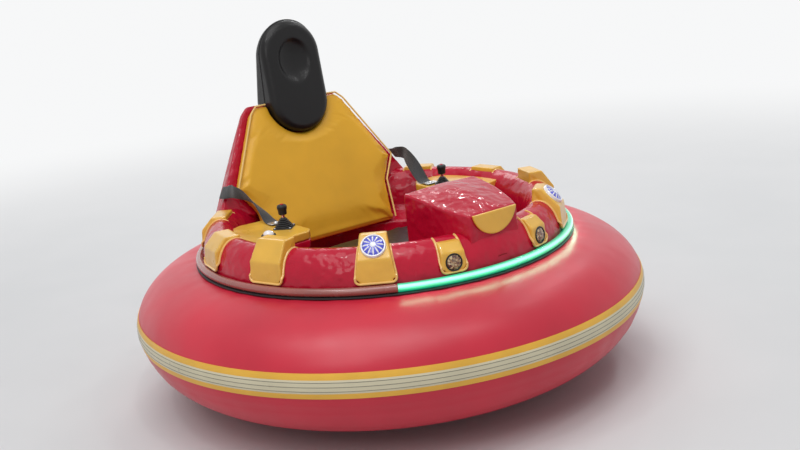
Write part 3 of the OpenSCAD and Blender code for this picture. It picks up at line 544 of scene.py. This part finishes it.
def block_solid(row, side):
    """One saddle block as (verts, faces), in the row frame; its foot's corners are round."""
    half, face_top, top, turn = block_form(row, side)
    run, inner_r = row[2], row[4]
    outline = [(inner_r, COLLAR_BASE_Z + 0.02, half(FOOT_Z) - BLOCK_CORNER)]
    for k in range(6):
        a = pi / 2 * k / 5
        z = FOOT_Z + BLOCK_CORNER * (1 - cos(a))
        outline.append((FOOT_R - FACE_LEAN * (z - FOOT_Z) / (face_top - FOOT_Z), z,
                        half(z) - BLOCK_CORNER * (1 - sin(a))))
    outline += [(FOOT_R - FACE_LEAN, face_top, half(face_top)),
                (FOOT_R - FACE_LEAN - run, top, half(top)),
                (inner_r + 0.006, top, half(top)),
                (inner_r, FOOT_Z + BLOCK_CORNER, half(FOOT_Z + BLOCK_CORNER))]
    verts = [turn @ Vector((r, s * w, z)) for s in (-1, 1) for r, z, w in outline]
    n = len(outline)
    ends = [tuple(range(n)), tuple(range(2 * n - 1, n - 1, -1))]
    return verts, grid_faces(2, n, wrap_cols=True) + ends


def flange_path(row, side):
    """The bead round a block: down one flank, round its foot's corners and up the other."""
    half, _, _, turn = block_form(row, side)
    inner_r, foot_w = row[4:6]
    radii = [inner_r + (COLLAR_R - 0.0012 - inner_r) * i / 14 for i in range(15)]
    flank = [(r, half(collar_z(r)), collar_z(r) - 0.001) for r in radii]
    flank = [p for p in flank if p[2] > FOOT_Z + BLOCK_CORNER + 0.006]
    for k in range(6):
        a = pi / 2 * k / 5
        z = FOOT_Z + 0.001 + BLOCK_CORNER * (1 - sin(a))
        flank.append((FOOT_R - 0.0030 + 0.0022 * k / 5, half(z) - BLOCK_CORNER * (1 - cos(a)), z))
    foot_r, foot_z = FOOT_R - 0.0008, FOOT_Z + 0.001
    flank += [(foot_r, (foot_w / 2 - BLOCK_CORNER) * (1 - k / 4), foot_z) for k in range(1, 4)]
    line = flank + [(foot_r, 0.0, foot_z)] + [(r, -w, z) for r, w, z in reversed(flank)]
    return [turn @ Vector(p) for p in line]


def collar_blocks():
    for node, rows in BLOCKS.items():
        both = [(row, side) for row in rows for side in (-1, 1)]
        solids = [block_solid(*b) for b in both]
        moulded(joined(node + "_moulded", solids, "yellow_shell", replaced=(node,)), 0.0034, 9)
        for k, b in enumerate(both):
            # each bead's paler yellow is a painted highlight along the rounded flange
            sweep(f"{node}_flange_{k + 1}", flange_path(*b), 0.0040, "yellow_edge", sides=8,
                  slot="yellow_shell")


# ------------------------ lamps

def headlamp_place(side):
    angle, face_h = BLOCKS["headlamp_blocks"][0][:2]
    mid_z = (FOOT_Z + COLLAR_BASE_Z + face_h) / 2
    lean = degrees(atan(FACE_LEAN / (COLLAR_BASE_Z + face_h - FOOT_Z)))
    turn = Matrix.Rotation(radians(side * angle), 4, "Z")
    return turn @ placed(FOOT_R - FACE_LEAN / 2, 0, mid_z, ry=90 - lean)


def signal_place(side):
    angle, face_h, run, climb = BLOCKS["signal_blocks"][0][:4]
    turn = Matrix.Rotation(radians(side * angle), 4, "Z")
    return turn @ placed(FOOT_R - FACE_LEAN - run / 2, 0, COLLAR_BASE_Z + face_h + climb / 2,
                         ry=degrees(atan(climb / run)))


def headlamps():
    lens = mm(0, 5.5, 8, 5.3, 16, 4.2, 22, 2.2, 23.5, 0.5, 23.5, -6, 0, -6)
    bezel = mm(23.2, -4, 23.2, 2.2, 24.5, 3.4, 26.8, 3, 27.8, 1.2, 27.8, -4)
    for side, word in ((-1, "right"), (1, "left")):
        at = headlamp_place(side)
        lathe(f"headlamp_lens_{word}", lens, "headlamp_lens", segments=48, axis=at,
              replaced=("headlamp_lenses",) if side < 0 else ())
        lathe(f"headlamp_bezel_{word}", bezel, "black_plastic", segments=48, axis=at)


def signal_rib(at, a):
    """A pale rib on the signal lens at angle a, as (verts, faces)."""
    verts = []
    for i in range(7):
        u = 0.33 + (pi / 2 - 0.45) * i / 6
        r, z = 0.0327 * sin(u), 0.0044 + 0.0112 * cos(u)
        w = 0.0007 + 0.0017 * sin(pi * i / 6)
        verts += [at @ Vector((r * cos(a) - s * w * sin(a), r * sin(a) + s * w * cos(a), z + lift))
                  for s, lift in ((-1, 0.0), (0, 0.0009), (1, 0.0))]
    return verts, grid_faces(7, 3)


def signal_lamps():
    """A round lamp: white rim, blue lens with pale radial ribs and a pale middle."""
    rim = mm(32.5, -4, 32.5, 7, 34, 9.5, 37.5, 8.8, 39, 5, 39, -4)
    dome = [(0.0326 * sin(u), 0.004 + 0.011 * cos(u)) for u in (pi / 2 * i / 10 for i in range(11))]
    hub = mm(0, 16.6, 5, 16.4, 8.5, 15.4, 10, 13.8, 10, 12, 0, 12)
    for side, word in ((-1, "right"), (1, "left")):
        at = signal_place(side)
        lathe(f"signal_rim_{word}", rim, "clear_lens", segments=64, axis=at, slot="white_dome",
              replaced=("signal_domes",) if side < 0 else ())
        lathe(f"signal_lens_{word}", dome + mm(32.6, 0, 0, 0), "blue_lens", segments=64, axis=at,
              slot="signal_lens")
        joined(f"signal_ribs_{word}", [signal_rib(at, a) for a in round_angles(12)], "clear_lens",
               slot="signal_lens")
        lathe(f"signal_hub_{word}", hub, "clear_lens", segments=32, axis=at, slot="signal_lens")


# ------------------------ nose

def nose():
    softened("nose_moulded", "nose_cowl", "red_shell", 0.0036, 9, rooted=0.006)
    softened("nose_plate", "nose_beak", "yellow_shell", 0.0021, 5)


# ------------------------ seat

def back_x(z):
    """Where the seat back's face is at a height."""
    return -BACK_X - (z - BACK_Z) * tan(RECLINE)


def swollen(name, node, material, voxel, start, cap, pinned):
    """A padded piece: the node's solid, drawn in a little and blown up as cloth."""
    obj = held(name, nodes[node].data.copy())
    moulded(obj, voxel, 6)
    mesh = obj.data
    normals = [v.normal.copy() for v in mesh.vertices]
    for v, n in zip(mesh.vertices, normals):
        v.co -= n * start
    rest = [v.co.copy() for v in mesh.vertices]
    group = obj.vertex_groups.new(name="pinned")
    group.add([v.index for v in mesh.vertices if pinned(v.co)], 1.0, "REPLACE")
    cloth = obj.modifiers.new("cloth", "CLOTH")
    cloth.settings.use_pressure = True
    cloth.settings.uniform_pressure_force = 4.0
    cloth.settings.effector_weights.gravity = 0.0
    cloth.settings.vertex_group_mass = "pinned"
    cloth.settings.tension_stiffness = 8.0
    cloth.settings.quality = 4
    cloth.collision_settings.use_collision = False
    for f in range(1, 21):
        scene.frame_set(f)
    bake(obj)
    scene.frame_set(1)
    for v, p in zip(obj.data.vertices, rest):
        d = v.co - p
        if d.length > cap:
            v.co = p + d * (cap / d.length)
    subdivision = obj.modifiers.new("subdivision", "SUBSURF")
    subdivision.levels = subdivision.render_levels = 1
    bake(obj)
    settle(obj, 180)
    finished(obj, material, [node])


def rear_sector(columns):
    """A solid behind the seat from (angle from the back, section of (radius, height)) columns."""
    verts = [Vector((-r * cos(radians(a)), r * sin(radians(a)), z))
             for a, section in columns for r, z in section]
    return verts, capped(len(columns), len(columns[0][1]))


def shell_skirt():
    """The seat shell's foot, lapped over the collar and proud of it."""
    columns = []
    for k in range(-41, 42):
        low = float(np.interp(abs(k), (27, 41), (0.5325, 0.590)))
        high = float(np.interp(abs(k), (36, 41), (0.660, 0.593)))
        heights = [low + (high - low) * i / 5 for i in range(6)]
        wall = [(float(np.interp(z, (0.5325, 0.600, 0.660), (0.6500, 0.6472, 0.6390))), z)
                for z in heights]
        columns.append((k, [(0.605, low)] + wall + [(0.605, high)]))
    return rear_sector(columns)


def shell_behind_head():
    """The seat shell's wall carried across behind the headrest's foot."""
    section = [(0.545, 0.84), (0.618, 0.84), (0.6085, 0.9505), (0.560, 0.968), (0.552, 0.968)]
    return rear_sector([(k, section) for k in range(-12, 13)])


def seat():
    softened("seat_shell_moulded", "seat_shell", "red_shell", 0.0048, 14,
             extra=(shell_skirt(), shell_behind_head()))
    rear = lambda p: (p.x - back_x(p.z)) < -0.022
    swollen("seat_pad_soft", "seat_back_pad", "seat_yellow", 0.0078, 0.005, 0.010, rear)
    low = lambda p: p.z < SEAT_BOX_Z + 0.02
    swollen("seat_cushion_soft", "seat_cushion", "seat_black", 0.0078, 0.008, 0.018, low)
    # bead round the seat back's front edge; its paler yellow is a painted highlight of the rounded
    # edge
    edge = ((0.468, 0.612, 0.700, 0.949, 0.975), (0.281, 0.295, 0.352, 0.210, 0.180))
    half = lambda z: float(np.interp(z, *edge))
    heights = [0.468 + (0.972 - 0.468) * i / 60 for i in range(61)]
    side = [(half(z) - 0.004, z) for z in heights] + [(0.15, 0.973), (0.137, 0.973)]
    for k, s in ((1, -1), (2, 1)):
        line = [(back_x(z), s * y, z) for y, z in side]
        sweep(f"seat_pad_piping_{k}", line, 0.0035, "piping", slot="seat_yellow")


# ------------------------ headrest

def head_front(z):
    low_x = back_x(HEAD_LOW_Z) + 0.020
    return low_x - (z - HEAD_LOW_Z) * tan(HEAD_LEAN)


def head_rear(z):
    return float(np.interp(z, (HEAD_LOW_Z, 0.967, HEAD_TOP_Z),
                           (-HEAD_BACK_X + 0.05, -HEAD_BACK_X, head_front(HEAD_TOP_Z) - HEAD_T)))


def head_depth(y, z):
    """Distance inside the headrest's round-ended outline, seen from the front."""
    z1, z2 = HEAD_LOW_Z + HEAD_W / 2, HEAD_TOP_Z - HEAD_W / 2
    q = min(max(z, z1), z2)
    return HEAD_W / 2 - hypot(y, z - q)


def dish_depth(y, z):
    rho = hypot(y / 0.066, (z - DISH_Z) / 0.078)
    if rho > 1.12:
        return 0.0
    lip = min(max((1.12 - rho) / 0.2, 0.0), 1.0)
    lip = lip * lip * (3 - 2 * lip)
    return 0.006 * lip + 0.020 * max(0.0, 1 - rho * rho) ** 0.8


def head_outline(count):
    """Even steps round the headrest's outline, seen from the front."""
    z1, z2 = HEAD_LOW_Z + HEAD_W / 2, HEAD_TOP_Z - HEAD_W / 2
    r = HEAD_W / 2
    arc, run = pi * r, z2 - z1
    outline = []
    for i in range(count):
        t = (i / count) * (2 * pi * r + 2 * run)
        if t < arc:
            outline.append((r * cos(t / r), z2 + r * sin(t / r)))
        elif t < arc + run:
            outline.append((-r, z2 - (t - arc)))
        elif t < 2 * arc + run:
            u = (t - arc - run) / r
            outline.append((-r * cos(u), z1 - r * sin(u)))
        else:
            outline.append((r, z1 + (t - 2 * arc - run)))
    return outline


def headrest():
    """A crowned, round-edged pad, thicker towards its foot, with a dish in its face."""
    count, rings = 96, 34
    outline = head_outline(count)
    face_in, back_in, crown_h = 0.004, 0.002, 0.005
    verts = []
    for front in (True, False):
        for s in (sin(pi / 2 * k / rings) for k in range(1, rings + 1)):
            for y, z in outline:
                py, pz = s * y, DISH_Z + s * (z - DISH_Z)
                thick = head_front(pz) - head_rear(pz)
                edge = min(0.030 if front else 0.040, 0.46 * thick)
                d = min(max(head_depth(py, pz), 0.0), edge)
                back_off = edge - sqrt(max(edge * edge - (edge - d) ** 2, 0.0))
                crown = crown_h * min(1.0, head_depth(py, pz) / 0.1)
                if front:
                    face = head_front(pz) - face_in + crown - dish_depth(py, pz)
                    verts.append((face - back_off, py, pz))
                else:
                    verts.append((head_rear(pz) + back_in + back_off - crown * 0.4, py, pz))
    verts += [(head_front(DISH_Z) - face_in + crown_h - dish_depth(0, DISH_Z), 0, DISH_Z),
              (head_rear(DISH_Z) + back_in, 0, DISH_Z)]
    half, last = rings * count, (rings - 1) * count
    faces = grid_faces(rings, count, wrap_cols=True)
    faces += [(half + a, half + d, half + c, half + b) for a, b, c, d in faces]
    for i in range(count):
        j = (i + 1) % count
        faces += [(last + i, last + j, half + last + j, half + last + i),
                  (2 * half, j, i), (2 * half + 1, half + i, half + j)]
    obj = piece("headrest_soft", verts, faces, "seat_black", replaced=("headrest", "headrest_dish"),
                crease=180)
    # seam round the side, halfway back from the face
    line = []
    for y, z in outline:
        x = head_front(z) - 0.46 * (head_front(z) - head_rear(z))
        line.append((x, y * 1.003, z + (0.0006 if z > DISH_Z else -0.0006)))
    sweep("headrest_seam", line, 0.0022, "black_rubber", closed=True, slot="seat_black")


# ------------------------ lap belts

# forward of the seat back, outside the shell's side or the cockpit's wall, above the
# armrest, tip in degrees
BELT_SHELL = [(-0.050, 0.005, 0.086, 124), (-0.018, 0.004, 0.090, 120), (0.012, 0.001, 0.096, 106)]
BELT_ARM = [(0.044, -0.044, 0.096, 86), (0.080, -0.056, 0.088, 68), (0.116, -0.066, 0.072, 50),
            (0.150, -0.074, 0.051, 34), (0.180, -0.080, 0.027, 18), (0.206, -0.083, 0.007, 6),
            (0.232, -0.084, 0.0, 0), (0.268, -0.084, 0.0, 0)]
BELT_W = 0.048


def smooth_line(rows, per=8):
    """Catmull-Rom samples through rows of numbers."""
    rows = [np.array(r, float) for r in rows]
    rows = [2 * rows[0] - rows[1]] + rows + [2 * rows[-1] - rows[-2]]
    out = []
    for i in range(1, len(rows) - 2):
        a, b, c, d = rows[i - 1:i + 3]
        for k in range(per):
            t = k / per
            out.append(0.5 * (2 * b + (c - a) * t + (2 * a - 5 * b + 4 * c - d) * t * t
                              + (3 * b - a - 3 * c + d) * t ** 3))
    out.append(rows[-2])
    return out


def belt_rows():
    z0 = ARM_Z + 0.0003
    rows = []
    for fwd, out, up, tip in BELT_SHELL:
        half = float(np.interp(z0 + up, (0.6316, 0.961), (0.425, 0.222)))
        rows.append((fwd - BACK_X, -half - out, z0 + up, tip))
    rows += [(fwd - BACK_X, -TUB_R - out, z0 + up, tip) for fwd, out, up, tip in BELT_ARM]
    return smooth_line(rows)


def belts():
    rows = belt_rows()
    n = len(rows)
    points = [Vector(r[:3]) for r in rows]
    # the strap's upper face: shares of its width and heights over its middle
    crown = [(-0.5, 0.0), (-0.46, 0.0013), (-0.3, 0.0018), (0.0, 0.0021), (0.3, 0.0018),
             (0.46, 0.0013), (0.5, 0.0)]
    section = crown + [(a, -c) for a, c in reversed(crown)]
    for hand, s in (("right", 1), ("left", -1)):
        verts, uvs = [], []
        length = 0.0
        for i, p in enumerate(points):
            d = points[min(i + 1, n - 1)] - points[max(i - 1, 0)]
            length += (p - points[i - 1]).length if i else 0.0
            level = d.cross(Vector((0, 0, 1))).normalized()
            up = level.cross(d).normalized()
            tip = radians(rows[i][3])
            side = level * cos(tip) + up * sin(tip)
            out = up * cos(tip) - level * sin(tip)
            for a, c in section:
                q = p + side * (a * BELT_W) + out * (0.0021 + c)
                verts.append((q.x, s * q.y, q.z))
                uvs.append((a * BELT_W, length))
        faces = grid_faces(n, len(section), wrap_cols=True)
        obj = piece(f"lap_belt_strap_{hand}", verts, faces, "belt_webbing",
                    replaced=(f"lap_belt_{hand}",), crease=50, weld=False)
        layer = obj.data.uv_layers.new(name="strap")
        for loop in obj.data.loops:
            layer.data[loop.index].uv = uvs[loop.vertex_index]
        turned_out(obj.data)
        # a plate and its screw hold the lower end, with rows of stitching behind them
        x, y, z = points[-1].x, s * points[-1].y, points[-1].z
        plate = plate_part(Matrix.Translation((x - 0.012, y, z + 0.0044)), 0.017, 0.027, 0.0022)
        joined(f"lap_belt_anchor_{hand}", [plate], "zinc_steel", crease=30)
        screw = screw_part(Matrix.Translation((x - 0.012, y, z + 0.0064)), 0.008, 0.0045)
        joined(f"lap_belt_screw_{hand}", [screw], "chrome", slot="zinc_steel")
        lines = [bar_part(Vector((x - back, y + across - 0.0014, z + 0.0043)),
                          Vector((x - back, y + across + 0.0014, z + 0.0043)), 0.0005)
                 for back in (0.044, 0.054) for across in (0.0046 * i for i in range(-4, 5))]
        joined(f"lap_belt_stitching_{hand}", lines, "grey_thread", slot="belt_webbing")


def ring_part(profile, segments, at):
    """A turned solid as (verts, faces); its profile closes or starts and ends on the axis."""
    verts = [at @ Vector((r * cos(a), r * sin(a), z)) for a in round_angles(segments)
             for r, z in profile]
    return verts, grid_faces(segments, len(profile), True, True)


def screw_part(at, r, h):
    """A domed screw head with a hexagon socket."""
    profile = ((0, 0), (1, 0), (1, 0.35), (0.86, 0.8), (0.6, 1), (0.42, 1), (0.40, 0.45), (0, 0.45))
    return ring_part([(x * r, z * h) for x, z in profile], 18, at)


def hex_part(at, r, h):
    """A hexagon bolt head with a chamfered top on a washer."""
    washer = [(0.0, 0.0), (r * 1.5, 0.0), (r * 1.5, h * 0.15), (0.0, h * 0.15)]
    verts, faces = ring_part(washer, 20, at)
    base = len(verts)
    verts += [at @ Vector((rad * r * cos(a), rad * r * sin(a), z * h))
              for rad, z in ((1.0, 0.15), (1.0, 0.9), (0.88, 1.0)) for a in round_angles(6)]
    head = grid_faces(3, 6, wrap_cols=True) + [tuple(range(12, 18))]
    return verts, faces + [tuple(base + i for i in face) for face in head]


def plate_part(at, hx, hy, t, corner=0.004):
    """A flat plate with round corners and a small top chamfer."""
    outline = [(qx * (hx - corner) + corner * cos(a), qy * (hy - corner) + corner * sin(a))
               for qx, qy, first in ((1, 1, 0), (-1, 1, 90), (-1, -1, 180), (1, -1, 270))
               for a in (radians(first + 90 * k / 4) for k in range(5))]
    verts = []
    for z, shrink in ((0.0, 0.0), (t * 0.6, 0.0), (t, min(0.001, t * 0.4))):
        verts += [at @ Vector((x * (1 - shrink / hx), y * (1 - shrink / hy), z))
                  for x, y in outline]
    return verts, capped(3, len(outline))


def bar_part(a, b, r, sides=6):
    """A thin straight bar between two points."""
    along = (b - a).normalized()
    u = along.orthogonal().normalized()
    v = along.cross(u)
    verts = [p + u * (r * cos(t)) + v * (r * sin(t)) for p in (a, b) for t in round_angles(sides)]
    return verts, capped(2, sides)


# ------------------------ controls

def controls():
    top = ARM_Z + 0.0003
    boot = mm(0, 0, 30, 0, 31, 2, 30, 4.5)
    for k in range(4):
        r, z = 0.027 - 0.0042 * k, 0.0055 + 0.0060 * k
        boot += [(r + x, z + y) for x, y in mm(-2.8, 0, 0, 2.4, -0.6, 4, -4.8, 5.2)]
    boot += mm(8.5, 31.5, 0, 31.5)
    stem = mm(0, 28, 6.2, 28, 6.2, 44, 0, 44)
    grip = mm(0, 41.5, 10.5, 41.5, 13.5, 42.8, 15, 46.5, 14.6, 52, 15.2, 58, 17.2, 64, 17.6, 69.5,
              16, 74.5, 11.8, 77.2, 6, 78, 0, 78.1)
    thumb = mm(0, 77.5, 6.5, 77.5, 6.2, 79.5, 4.5, 80.3, 0, 80.5)
    ring = [(BUTTON_R + x, z) for x, z in mm(-6.6, 0, 0, 0, 0, 3.5, -1.2, 5.5, -3.2, 6.3, -5.5, 5.5,
                                             -6.2, 3.5)]
    dome = [(0.0185 * cos(u), 0.005 + 0.0145 * sin(u)) for u in (pi / 2 * k / 9 for k in range(9))]
    dome = mm(0, 1, 18.5, 1) + dome + mm(0, 19.5)
    plates, heads = [], []
    for hand, s in (("right", -1), ("left", 1)):
        softened(f"console_moulded_{hand}", f"console_{hand}", "red_shell", 0.004, 8)
        softened(f"armrest_moulded_{hand}", f"armrest_{hand}", "yellow_shell", 0.0028, 9)
        at = Matrix.Translation((STICK_X, s * STICK_Y, top + 0.0043))
        lathe(f"joystick_boot_{hand}", boot, "black_rubber", segments=40, axis=at,
              replaced=(f"joystick_{hand}",))
        lathe(f"joystick_stem_{hand}", stem, "chrome", segments=24, axis=at, slot="zinc_steel")
        lathe(f"joystick_grip_{hand}", grip, "black_plastic", segments=40, axis=at)
        lathe(f"joystick_button_{hand}", thumb, "red_shell", segments=24, axis=at)
        at = Matrix.Translation((BUTTON_X, s * BUTTON_Y, top))
        lathe(f"button_ring_{hand}", ring, "black_plastic", segments=48, axis=at,
              replaced=("console_bezels",) if s < 0 else ())
        lathe(f"button_dome_{hand}", dome, "white_dome", segments=48, axis=at,
              replaced=("console_domes",) if s < 0 else ())
        at = Matrix.Translation((STICK_X, s * STICK_Y, top)) @ Matrix.Rotation(pi / 4, 4, "Z")
        plates.append(plate_part(at, 0.0325, 0.0325, 0.004, corner=0.005))
        for qx, qy in ((1, 1), (-1, 1), (-1, -1), (1, -1)):
            corner = at @ Matrix.Translation((qx * 0.0265, qy * 0.0265, 0.004))
            heads.append(screw_part(corner, 0.0032, 0.0018))
    joined("joystick_plates_moulded", plates, "black_plastic", replaced=("joystick_plates",),
           crease=30)
    joined("joystick_plate_screws", heads, "chrome", slot="zinc_steel")


# ------------------------ fittings and underside

def fittings():
    """A ribbed rubber mat on the cockpit's floor, in front of the seat box."""
    x0, x1, mat_r, ribs = SEAT_BOX_X + 0.012, 0.385, 0.40, 23
    parts = []
    for i in range(ribs):
        x = x0 + (x1 - x0) * i / (ribs - 1)
        w = sqrt(mat_r ** 2 - x * x) - 0.008
        z = FLOOR_TOP + 0.0035
        parts.append(bar_part(Vector((x, -w, z)), Vector((x, w, z)), 0.0028, 8))
    joined("floor_mat_ribs", parts, "black_rubber", slot="floor_grey")
    outline = [(mat_r * cos(a), mat_r * sin(a))
               for a in (radians(68 - 136 * k / 40) for k in range(41))]
    outline += [(x0 - 0.006, -0.372), (x0 - 0.006, 0.372)]
    verts = [(x, y, z) for z in (FLOOR_TOP + 0.0003, FLOOR_TOP + 0.0028) for x, y in outline]
    piece("floor_mat", verts, capped(2, len(outline)), "floor_grey")


def radial(angle, radius, z):
    """A place on a vertical round wall, its Z axis pointing to the middle."""
    return Matrix.Rotation(radians(angle), 4, "Z") @ placed(radius, 0, z, ry=-90)


def bolts(at, count, first, circle_r, z, r, h):
    """Bolt heads round a circle; first is the first one's angle in degrees."""
    angles = [radians(first + 360 / count * k) for k in range(count)]
    return [hex_part(at @ Matrix.Translation((circle_r * cos(a), circle_r * sin(a), z)), r, h)
            for a in angles]


def drive_wheels():
    mid, half = WHEEL_D / 2, WHEEL_W / 2
    tread = []
    for k, y in enumerate((-0.0135, -0.0045, 0.0045, 0.0135)):
        tread += [(mid, y - 0.0032), (mid, y + 0.0032)]
        if k < 3:
            tread += [(mid - 0.0028, y + 0.0036), (mid - 0.0028, y + 0.0054)]
    outer = [(mid + x, y - half) for x, y in mm(-22.2, 0, -16.5, -0.4, -15, 0.8, -10.5, 1, -7.2, 0,
                                                -3.8, 2, -1.2, 6)]
    profile = outer + tread + [(r, -y) for r, y in reversed(outer)]
    cap = [(r, half + z) for r, z in mm(0, 0, 13, 0, 13, 4, 10, 6, 0, 6.5)]
    for hand, s in (("right", -1), ("left", 1)):
        body = f"drive_wheel_{hand}"
        at = placed(0, s * WHEEL_Y, AXLE_Z, rx=-90 * s)
        lathe(f"tyre_{hand}", profile, "tyre_rubber", segments=120, axis=at, body=body,
              replaced=(f"drive_tyre_{hand}",), crease=32)
        heads = bolts(at, 5, 36, 0.040, 0.0059, 0.0065, 0.007)
        heads.append(ring_part(cap, 32, at @ Matrix.Translation((0, 0, -0.0292))))
        joined(f"wheel_nuts_{hand}", heads, "zinc_steel", body=body, crease=30)


def underside():
    drive_wheels()
    heads = [hex_part(radial(angle, CLAMP_IN_R, 0.178), 0.0055, 0.0055)
             for a in (8, 17, 32.4, 50, 60, 79) for angle in (a, 180 - a, 180 + a, -a)]
    heads += [hex_part(placed(x + qx, qy, CASTER_PLATE_Z, rx=180), 0.0065, 0.006)
              for x in (-CASTER_X, CASTER_X) for qx in (-0.042, 0.042) for qy in (-0.033, 0.033)]
    joined("chassis_bolts", heads, "zinc_steel", crease=30)
    for word, end in (("front", 1), ("rear", -1)):
        x = end * CASTER_X - CASTER_TRAIL
        nuts = [hex_part(placed(x, s * FORK_HALF, CASTER_AXLE_Z, rx=-90 * s), 0.0085, 0.0065)
                for s in (-1, 1)]
        joined(f"caster_nuts_{word}", nuts, "zinc_steel", body=f"caster_{word}", crease=30)
    rib = mm(42.5, 0, 45.2, 0.6, 45.2, 3.2, 42.5, 3.8)
    for hand, s in (("right", -1), ("left", 1)):
        at = placed(0, s * MOTOR_END_Y, AXLE_Z, rx=90 * s)
        rings = [ring_part([(r, z - 0.030 - 0.008 * k) for r, z in rib], 64, at) for k in range(9)]
        joined(f"motor_ribs_{hand}", rings, "motor_case", crease=30)
        joined(f"motor_bolts_{hand}", bolts(at, 4, 45, 0.034, 0, 0.0045, 0.004), "zinc_steel",
               crease=30)


# ------------------------ camera, light, floor

def direct_view(nt):
    """1 for camera, glossy and transmission rays, which see the white backdrop."""
    path = add(nt, "LightPath").outputs
    last = path["Is Camera Ray"]
    for other in ("Is Glossy Ray", "Is Transmission Ray"):
        last = add(nt, "Math", {0: last, 1: path[other]}, operation="MAXIMUM").outputs[0]
    return last


def aimed(name, data, place, turn):
    """A lamp or camera in its place."""
    obj = held(name, data)
    obj.location = place
    obj.rotation_mode = "QUATERNION"
    obj.rotation_quaternion = turn
    return obj


def studio():
    yaw, pitch, roll = (radians(v) for v in (145.066, 14.55, -5.8604))
    turn = (Matrix.Rotation(yaw - pi / 2, 3, "Z") @ Matrix.Rotation(pi / 2 - pitch, 3, "X")
            @ Matrix.Rotation(roll, 3, "Z"))
    cam = aimed("camera", bpy.data.cameras.new("camera"), (3.0109, -2.0309, 1.4792),
                turn.to_quaternion())
    cam.data.sensor_fit = "HORIZONTAL"
    cam.data.sensor_width = 36.0
    cam.data.lens = 47.0
    scene.camera = cam

    def lamp(name, kind, place, energy, color=(1, 1, 1), **settings):
        data = bpy.data.lights.new(name, kind)
        data.energy = energy
        data.color = color
        for key, value in settings.items():
            setattr(data, key, value)
        aim = Vector((0, 0, 0.45)) - Vector(place)
        return aimed(name, data, place, aim.to_track_quat("-Z", "Y"))

    lamp("ceiling", "SUN", (0.7, -0.9, 3.8), 1.35, angle=radians(50))
    lamp("key", "AREA", (2.0, -3.0, 2.6), 14, (1.0, 0.98, 0.96), size=1.2)
    lamp("rim", "AREA", (-3.0, 1.4, 2.8), 16, size=1.4)
    spots = ((1.6, -0.9), (0.4, -2.2), (2.4, 0.6), (-1.7, 3.2), (-0.3, 3.6), (-2.9, 2.0),
             (-1.2, 4.8), (0.9, 2.6), (-3.6, 3.8))
    for k, (x, y) in enumerate(spots):
        lamp(f"spot_{k + 1}", "AREA", (x, y, 4.2), 7, size=0.16)

    # the lit tube's own light on the vinyl outside it
    for k in range(14):
        a = radians(LIT_FROM + (LIT_TO - LIT_FROM) * (k + 0.5) / 14)
        obj = lamp(f"tube_glow_{k + 1}", "AREA", (0.682 * cos(a), 0.682 * sin(a), 0.524), 0.045,
                   (0.25, 1.0, 0.62), shape="RECTANGLE", size=0.105, size_y=0.010)
        aim = Vector((0.45 * cos(a), 0.45 * sin(a), -1)).to_track_quat("-Z", "Y")
        along = Vector((-sin(a), cos(a), 0))
        turn = aim.to_matrix()
        spin = atan2(along.dot(turn.col[1]), along.dot(turn.col[0]))
        obj.rotation_quaternion = (turn @ Matrix.Rotation(spin, 3, "Z")).to_quaternion()

    world = bpy.data.worlds.new("studio")
    world.use_nodes = True
    scene.world = world
    nt = world.node_tree
    nt.nodes.clear()
    plain = add(nt, "Background", {0: (0.80, 0.82, 0.85, 1), 1: 0.40})
    white = add(nt, "Background", {0: BACKDROP, 1: 1.0})
    both = add(nt, "MixShader", {0: direct_view(nt), 1: plain.outputs[0], 2: white.outputs[0]})
    add(nt, "OutputWorld", {0: both.outputs[0]})

    half = 30.0
    mesh = bpy.data.meshes.new("floor")
    mesh.from_pydata([(-half, -half, 0), (half, -half, 0), (half, half, 0), (-half, half, 0)], [],
                     [(0, 1, 2, 3)])
    floor = held("floor", mesh)
    nt, bsdf, coord = tree("floor")
    spots = remap(nt, noise(nt, coord, 1.2, 3.0), 0, 1)
    plug(nt, bsdf, {"Base Color": mix(nt, spots, (0.66, 0.665, 0.67), (0.70, 0.70, 0.705)),
                    "Roughness": 0.75})
    # far from the car the floor runs over into the white behind it
    away = add(nt, "VectorMath", {0: coord}, operation="LENGTH").outputs["Value"]
    fade = add(nt, "MapRange", {"Value": away, "From Min": 1.7, "From Max": 7.0},
               interpolation_type="SMOOTHSTEP").outputs["Result"]
    share = add(nt, "Math", {0: fade, 1: direct_view(nt)}, operation="MULTIPLY").outputs[0]
    backdrop = add(nt, "Emission", {"Color": BACKDROP})
    blend = add(nt, "MixShader", {0: share, 1: bsdf.outputs[0], 2: backdrop.outputs[0]})
    plug(nt, nt.nodes["Material Output"], {0: blend.outputs[0]})
    dress(floor, "floor")
    scene.view_settings.view_transform = "Standard"


# ------------------------ build

for node_name, obj in nodes.items():
    dress(obj, record_slots[node_name])
    settle(obj, 35)

tube_skin()
bumper_band()
light_ring()
cockpit_shell()
collar_blocks()
headlamps()
signal_lamps()
nose()
seat()
headrest()
belts()
controls()
fittings()
underside()

studio()
